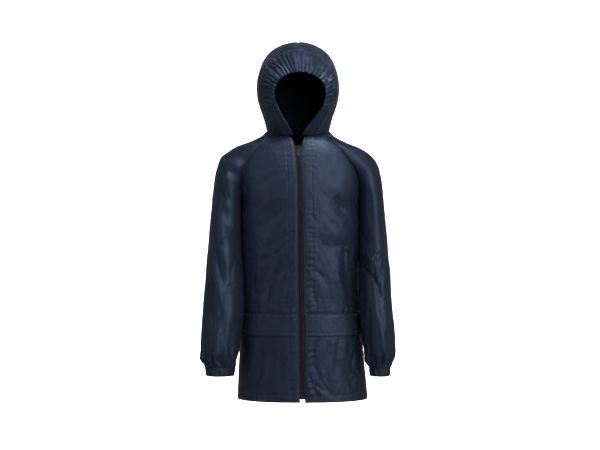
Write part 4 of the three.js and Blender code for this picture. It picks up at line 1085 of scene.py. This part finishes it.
def make_flap(side):
    name = "flap_left" if side == LEFT else "flap_right"
    cloth, form = fronts[side]
    heights = cloth.base[:, :, 2].mean(axis=1)
    grid = rows_between(form, heights, FLAP_BOTTOM, FLAP_TOP, 31)
    grid = np.array([even(row, 97, FLAP_FROM_ZIP, 1.2) for row in grid])
    flap = Cloth(grid)
    hang = flap.to_top / flap.to_top.max()
    flap.push(-(FLAP_LIFT + FLAP_HANG * hang))
    depth = crumple(flap, 0.4, 30, 81 + side) * np.minimum(flap.up / 8, 1)
    depth += puckers(flap.across, flap.up, 46, 30, 0.7, 83 + side)
    depth += puckers(flap.across, flap.up - FLAP_LINES["bottom"], 12, 6, 0.25, 85)
    depth += puckers(flap.across, flap.to_top - 4, 14, 9, 0.35, 87 + side)
    depth += groove(flap.up - FLAP_LINES["bottom"], 1.3, 0.45)
    depth += groove(flap.to_top - FLAP_LINES["top"], 1.2, 0.4)
    depth += groove(flap.to_top, 1.5, 0.9) + groove(flap.across - FLAP_LINES["start"], 1.2, 0.35)
    flap.push(depth)
    make_shell(name, flap, {"start": 1.0, "end": 1.2, "bottom": 1.1, "top": 1.3})
    for edge, distance in FLAP_LINES.items():
        sew(f"stitches_{name}", *edge_line(flap, edge, distance))
    return flap


flaps = {side: make_flap(side) for side in (LEFT, RIGHT)}

# %% [markdown]
# ## The back
# The back is one panel between the side seams. It hangs from the shoulders in a few long folds, with
# slanting creases from the underarms and across the waist, much like the fronts.

# %% Back
def make_back():
    cloth = panels["back"]
    x, z = cloth.base[..., 0], cloth.base[..., 2]
    cloth.push(soft_folds(x, z, BACK_FOLDS) * edge_fade(cloth, FOLD_FADE))
    free = np.minimum(edge_fade(cloth, 7) * 1.2, 1)
    depth = 1.35 * creases(x, z, BACK_CREASES) * free + crumple(cloth, 0.8, 32, 101) * free
    side = np.minimum(cloth.across, cloth.to_end)
    depth += puckers(cloth.up, side - 5, 13, 7, 0.5, 103) * (0.2 + 0.8 * (z > UNDERARM))
    depth += groove(cloth.up - HEM_LINE, 1.5, 0.5)
    depth += puckers(cloth.across, cloth.up - HEM_LINE, 13, 9, 0.45, 105)
    depth += groove(cloth.to_top, 2.2, 0.8) + puckers(cloth.across, cloth.to_top - 5, 11, 8, 0.5, 107)
    cloth.push(depth)
    make_shell("back", cloth, {"start": SEAM_TURN, "end": SEAM_TURN, "bottom": 2.2, "top": SEAM_TURN})
    sew("stitches_back", *edge_line(cloth, "bottom", HEM_LINE))
    for edge in ("start", "end"):
        points, normal = edge_line(cloth, edge, SEAM_LINE)
        raglan_part = points[:, 2] > UNDERARM
        sew("stitches_back", points[raglan_part], normal[raglan_part])
    return cloth


back = make_back()

# %% [markdown]
# ## The sleeves
# A raglan sleeve runs up to the neck. Below the underarm its two edges meet in the sleeve's own seam,
# on the inside. The elbow has crossed creases, and the cuff is drawn in by elastic in a narrow casing:
# tight puckers on the casing, gathers above it, and long soft folds that fade up the forearm.

# %% Sleeves
CASING = 17
INNER_EASE = table("z out", [
    (-480, 0), (-440, 2), (-400, 3.4), (-300, 3.4), (-240, 3.0), (-215, 2.6), (-200, 2.2), (-190, 1.5),
    (-180, 0.7), (-168, 0),
])
CUFF_WAVES = table("up depth", [(0, 4.6), (11, 5.4), (17, 6.6), (28, 8.8), (42, 6.0), (66, 0)])
LONG_WAVES = table("up depth", [(0, 0), (17, 0.3), (40, 1.6), (62, 1.7), (95, 0.8), (140, 0)])


def make_sleeve(side):
    name = "sleeve_left" if side == LEFT else "sleeve_right"
    cloth = panels[name]
    seam = np.minimum(cloth.across, cloth.to_end)
    ease = smooth(INNER_EASE, "z", "out", cloth.base[..., 2]) * np.exp(-((seam / 26) ** 2))
    cloth.push(-ease * (1.45 if side == RIGHT else 1))
    cloth.base = cloth.points.copy()
    x, z = cloth.base[..., 0], cloth.base[..., 2]
    middle = cloth.base[:, cloth.base.shape[1] // 2, 1][:, None]
    ahead = np.clip((middle - cloth.base[..., 1]) / 12 + 0.5, 0, 1)
    open_part = np.clip((z - UNDERARM) / 20, 0, 1)
    fade = mix(1, np.minimum(np.minimum(cloth.across, cloth.to_end) / FOLD_FADE, 1), open_part)
    fade = fade * np.minimum(cloth.to_top / 17, 1) * np.minimum(cloth.up / 20, 1)
    folds = soft_folds(x, z, FRONT_FOLDS) * ahead + soft_folds(x, z, BACK_FOLDS) * (1 - ahead)
    cloth.push(folds * fade * (0.2 + 0.8 * np.minimum(seam / 38, 1)))
    free = np.minimum(edge_fade(cloth, 7) * 1.2, 1) * np.clip((cloth.up - 18) / 30, 0, 1)
    depth = creases(x, z, SLEEVE_CREASES[side, "front"]) * ahead * free
    depth += creases(x, z, SLEEVE_CREASES[side, "back"]) * (1 - ahead) * free
    depth += crumple(cloth, 0.5, 30, 121 + side) * free
    around = cloth.across / cloth.across[:, -1:]
    level = cloth.up / 45
    low = np.clip((26 - cloth.up) / 14, 0, 1)
    coarse, fine = gathers(17 * around, level, 131 + side), gathers(31 * around, level * 1.5, 135 + side)
    depth += smooth(CUFF_WAVES, "up", "depth", cloth.up) * mix(coarse, 0.75 * fine, low * 0.75)
    drift = 0.8 * clouds(around * 9, cloth.up / 60, 1, 139)
    long = np.sin(2 * math.pi * (10 * around + 0.6 * drift) + 1.6 * wander(around * 10, 1.7, 141 + side))
    depth += smooth(LONG_WAVES, "up", "depth", cloth.up) * long * (0.6 + 0.4 * wander(around * 10, 1.3, 137))
    depth += groove(cloth.up - CASING, 1.7, 1.0) + groove(cloth.up, 2.0, 0.6)
    depth += puckers(cloth.up, seam - 5, 12, 7, 0.5, 143 + side) * (0.2 + 0.8 * open_part)
    depth += groove(cloth.to_top, 2.2, 0.8) + puckers(cloth.across, cloth.to_top - 5, 11, 8, 0.5, 145)
    cloth.push(depth)
    turns = {"start": SEAM_TURN, "end": SEAM_TURN, "bottom": 3, "top": SEAM_TURN}
    make_shell(name, cloth, turns)
    sew(f"stitches_{name}", *edge_line(cloth, "bottom", CASING), pitch=2.8)
    return cloth


sleeves = {side: make_sleeve(side) for side in (LEFT, RIGHT)}

# %% [markdown]
# ## The hood and its face band
# Two mirrored halves meet in a seam over the crown. In front of them a wide band is folded over elastic:
# it puffs out, and its gathers run from the outer seam in to the opening, close together over the brow
# and none at the chin, where lengthwise stitch lines hold the casing flat.

# %% Hood halves
HOOD_CREASES = [
    (60, 30, 74, 60, 6, 1.4, 3), (40, 150, 64, 128, 7, 1.4, -3), (30, 176, 52, 160, 6, 1.2, 2),
    (-62, 34, -76, 66, 6, 1.4, -3), (-44, 148, -66, 124, 7, 1.4, 3), (-28, 178, -50, 160, 6, 1.2, -2),
]


def make_hood_half(side):
    name = "hood_left" if side == LEFT else "hood_right"
    cloth = panels[name]
    wide = np.clip(cloth.across[:, -1:] / 60, 0, 1)
    free = np.minimum(edge_fade(cloth, 8), 1) * wide
    x, z = cloth.base[..., 0], cloth.base[..., 2]
    depth = (creases(x, z, HOOD_CREASES) + crumple(cloth, 0.7, 32, 151 + side)) * free
    depth += groove(cloth.across, 2.2, 0.9) * wide
    depth += puckers(cloth.up, cloth.across - 5, 10, 13, 1.2, 153 + side) * wide
    depth += (groove(cloth.to_end, 2.0, 0.8) + puckers(cloth.up, cloth.to_end - 5, 12, 8, 0.45, 155)) * wide
    depth += groove(cloth.up, 2.2, 0.8) + puckers(cloth.across, cloth.up - 6, 12, 10, 0.6, 157 + side)
    cloth.push(depth)
    make_shell(name, cloth, {"start": SEAM_TURN, "end": SEAM_TURN, "bottom": SEAM_TURN})
    sew("stitches_hood", *edge_line(cloth, "end", SEAM_LINE))
    sew("stitches_hood", *edge_line(cloth, "bottom", SEAM_LINE))
    return cloth


hood_halves = {side: make_hood_half(side) for side in (LEFT, RIGHT)}

# %% Face band
BAND_GATHERS, BAND_CASING = 25, 13
BAND_ACROSS = table("share depth", [(0, 1.2), (0.14, 4.0), (0.45, 5.6), (0.72, 4.8), (1, 2.8)])


def band_roll(cloth, points, places):
    """The edge of the opening, rolled in over its elastic and back behind the band."""
    line, down = points[:, -1:], cloth.normal[:, -1:]
    ahead = line - points[:, -3:-2]
    ahead /= np.linalg.norm(ahead, axis=2, keepdims=True)
    steps = [(0.9, 0.7), (1.2, 1.9), (0.4, 3.1), (-2.0, 3.8), (-9.0, 4.0)]
    lines = [line + ahead * out - down * deep for out, deep in steps]
    uvs = [places[:, -1:] + [2.0 * (i + 1), 0] for i in range(len(steps))]
    return np.concatenate([points, *lines], axis=1), np.concatenate([places, *uvs], axis=1)


def make_band():
    cloth = panels["hood_band"]
    steps = np.linalg.norm(np.diff(np.array(band_rows()), axis=0), axis=2).mean(axis=1)
    at = np.concatenate([[0], np.cumsum(steps)])
    station = HOOD_ROWS - np.abs(np.arange(2 * HOOD_ROWS + 1) - HOOD_ROWS)
    level = np.interp(np.linspace(0, at[-1], len(cloth.points)), at, station)[:, None]
    share = np.linspace(0, 1, cloth.points.shape[1])[None, :]
    high = np.clip(level / 4, 0, 1)
    cloth.push(-BAND_PUFF * (0.35 + 0.65 * high) * np.sin(math.pi * share * 0.96))
    gathered = np.clip((level - 2.4) / 2.4, 0, 1)
    turns = np.cumsum(gathered, axis=0) / gathered.sum() * BAND_GATHERS
    close = np.clip(np.abs(share - 0.45) * 2.6 - 0.35, 0, 1)
    folds = mix(gathers(turns, share * 1.5, 161), 0.7 * gathers(turns * 1.8, share * 2.2, 166), close)
    uneven = 0.6 + 0.4 * wander(turns, 1.7, 173)
    ribs = np.sin(2 * math.pi * turns * 1.25 + 2.1 * wander(turns, 2.2, 171)) * uneven
    depth = smooth(BAND_ACROSS, "share", "depth", share) * gathered * (0.7 * folds + 0.5 * ribs)
    away = cloth.to_end
    depth += groove(away - BAND_CASING, 1.5, 0.7) + groove(away - 3.0, 1.0, 0.3)
    low = 1 - np.clip((level - 1) / 3, 0, 1)
    depth += (groove(away - 22, 1.8, 0.7) + groove(away - 31, 1.8, 0.6)) * low
    depth += groove(cloth.across, 2.4, 0.9) + puckers(cloth.up, cloth.across - 4, 9, 8, 1.0, 169)
    depth += crumple(cloth, 0.5, 24, 171)
    cloth.push(depth)
    side = np.sign(cloth.base[..., 0])
    cloth.points[..., 0] -= side * 3.6 * low * np.exp(-((away / 18) ** 2))
    make_shell("hood_band", cloth, {"start": SEAM_TURN, "bottom": 2.5, "top": 2.5}, band_roll)
    sew("stitches_hood_band", *edge_line(cloth, "end", BAND_CASING))
    sew("stitches_hood_band", *edge_line(cloth, "start", SEAM_LINE))
    return cloth


band = make_band()

# %% [markdown]
# ## The zip
# The chain is a medium moulded one. A single tooth is modelled, and copies are laid up the front from
# the left and from the right in turn, so that they mesh. The slider, its tab and the box at the bottom
# keep the frame's own shapes and get their enamel and plastic.

# %% Teeth
ZIP_TOP, ZIP_BOTTOM, ZIP_BOX_HEIGHT, SLIDER_HEIGHT = -15, -532, 9, 13
TOOTH = {"pitch": 2.9, "width": 3.0, "height": 1.35, "thick": 1.9, "past": 0.75}


def front_middle(z):
    """The middle of the front at a height: a point, and the direction straight out of it."""
    slope = (body("front", z + 2) - body("front", z - 2)) / 4
    out = np.array([0, -1, -slope]) / math.hypot(1, slope)
    return np.array([body("lean", z), -body("front", z), z]), out


def model_tooth():
    """One tooth, lying along X with its head towards the middle of the zip."""
    bpy.ops.object.select_all(action="DESELECT")
    bpy.ops.mesh.primitive_cube_add(size=1, location=((TOOTH["width"] - TOOTH["past"]) / 2 + 0.3, 0, 0))
    tooth = bpy.context.object
    tooth.scale = (TOOTH["width"] - 1.2, TOOTH["thick"], TOOTH["height"])
    bpy.ops.object.transform_apply(location=True, scale=True)
    bpy.ops.object.mode_set(mode="EDIT")
    shape = bmesh.from_edit_mesh(tooth.data)
    bpy.ops.mesh.select_all(action="DESELECT")
    bpy.ops.mesh.select_mode(type="FACE")
    shape.faces.ensure_lookup_table()
    for face in shape.faces:
        face.select = face.normal.x < -0.9
    bpy.ops.mesh.extrude_region_move(TRANSFORM_OT_translate={"value": (-0.5, 0, 0)})
    bpy.ops.transform.resize(value=(1, 0.9, 0.66))
    bpy.ops.mesh.extrude_region_move(TRANSFORM_OT_translate={"value": (-0.7, 0, 0)})
    bpy.ops.transform.resize(value=(1, 1, 1.3))
    bpy.ops.object.mode_set(mode="OBJECT")
    bevel = tooth.modifiers.new("rounding", "BEVEL")
    bevel.width, bevel.segments, bevel.limit_method = 0.22, 1, "NONE"
    apply_modifiers(tooth)
    points = np.array([v.co for v in tooth.data.vertices])
    faces = [list(p.vertices) for p in tooth.data.polygons]
    bpy.data.objects.remove(tooth)
    return points, faces


def make_teeth():
    points, faces = model_tooth()
    low, high = ZIP_BOTTOM + ZIP_BOX_HEIGHT + 1.5, ZIP_TOP - SLIDER_HEIGHT - 1.0
    all_points, all_faces = [], []
    for step, z in enumerate(np.arange(low, high, TOOTH["pitch"] / 2)):
        side = 1 if step % 2 == 0 else -1
        place, out = front_middle(float(z))
        up = np.cross([1, 0, 0], -out)
        turned = points * [side, 1, 1]
        placed = turned[:, :1] * [1, 0, 0] - turned[:, 1:2] * out + turned[:, 2:] * up + place - out * 1.4
        first = len(all_points) * len(points)
        ordered = [face if side == 1 else face[::-1] for face in faces]
        all_faces += [[v + first for v in face] for face in ordered]
        all_points.append(placed)
    mesh = bpy.data.meshes.new("zip_teeth")
    mesh.from_pydata((np.concatenate(all_points) * MM).tolist(), [], all_faces)
    mesh.materials.append(TEETH_PLASTIC)
    teeth = bpy.data.objects.new("zip_teeth", mesh)
    bpy.context.scene.collection.objects.link(teeth)
    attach(teeth, COAT)
    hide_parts("zip_chain")
    print("teeth:", len(all_points), "triangles:", sum(len(f) - 2 for f in all_faces))


make_teeth()
NODE_FINISHES = {
    "zip_tape_left": TAPE_WEAVE, "zip_tape_right": TAPE_WEAVE, "zip_box": TEETH_PLASTIC,
    "zip_slider": METAL, "pull_tab": METAL,
}
for node, finish in NODE_FINISHES.items():
    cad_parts[node].material_slots[0].material = finish

# %% Film behind the box
END_FILM = {"low": -533.5, "high": -512, "reach": 11, "sunk": 3.75, "bow": 0.0045, "thick": 0.4}


def make_end_film():
    """The stiff woven film that backs both tapes at the box, as on any separating zip."""
    heights = np.linspace(END_FILM["low"], END_FILM["high"], 10)
    aways = np.linspace(-END_FILM["reach"], END_FILM["reach"], 12)
    points, faces = [], []
    for z in heights:
        place, out = front_middle(float(z))
        place = place - out * END_FILM["sunk"]
        points += [place + [away, END_FILM["bow"] * away**2, 0] for away in aways]
    for i in range(len(heights) - 1):
        for j in range(len(aways) - 1):
            corner = i * len(aways) + j
            faces.append([corner, corner + 1, corner + 1 + len(aways), corner + len(aways)])
    mesh = bpy.data.meshes.new("zip_end_film")
    mesh.from_pydata((np.array(points) * MM).tolist(), [], faces)
    mesh.materials.append(TAPE_WEAVE)
    film = bpy.data.objects.new("zip_end_film", mesh)
    bpy.context.scene.collection.objects.link(film)
    shell = film.modifiers.new("thickness", "SOLIDIFY")
    shell.thickness, shell.offset = END_FILM["thick"] * MM, -1
    apply_modifiers(film)
    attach(film, COAT)


make_end_film()

# %% Sewing
make_stitches()
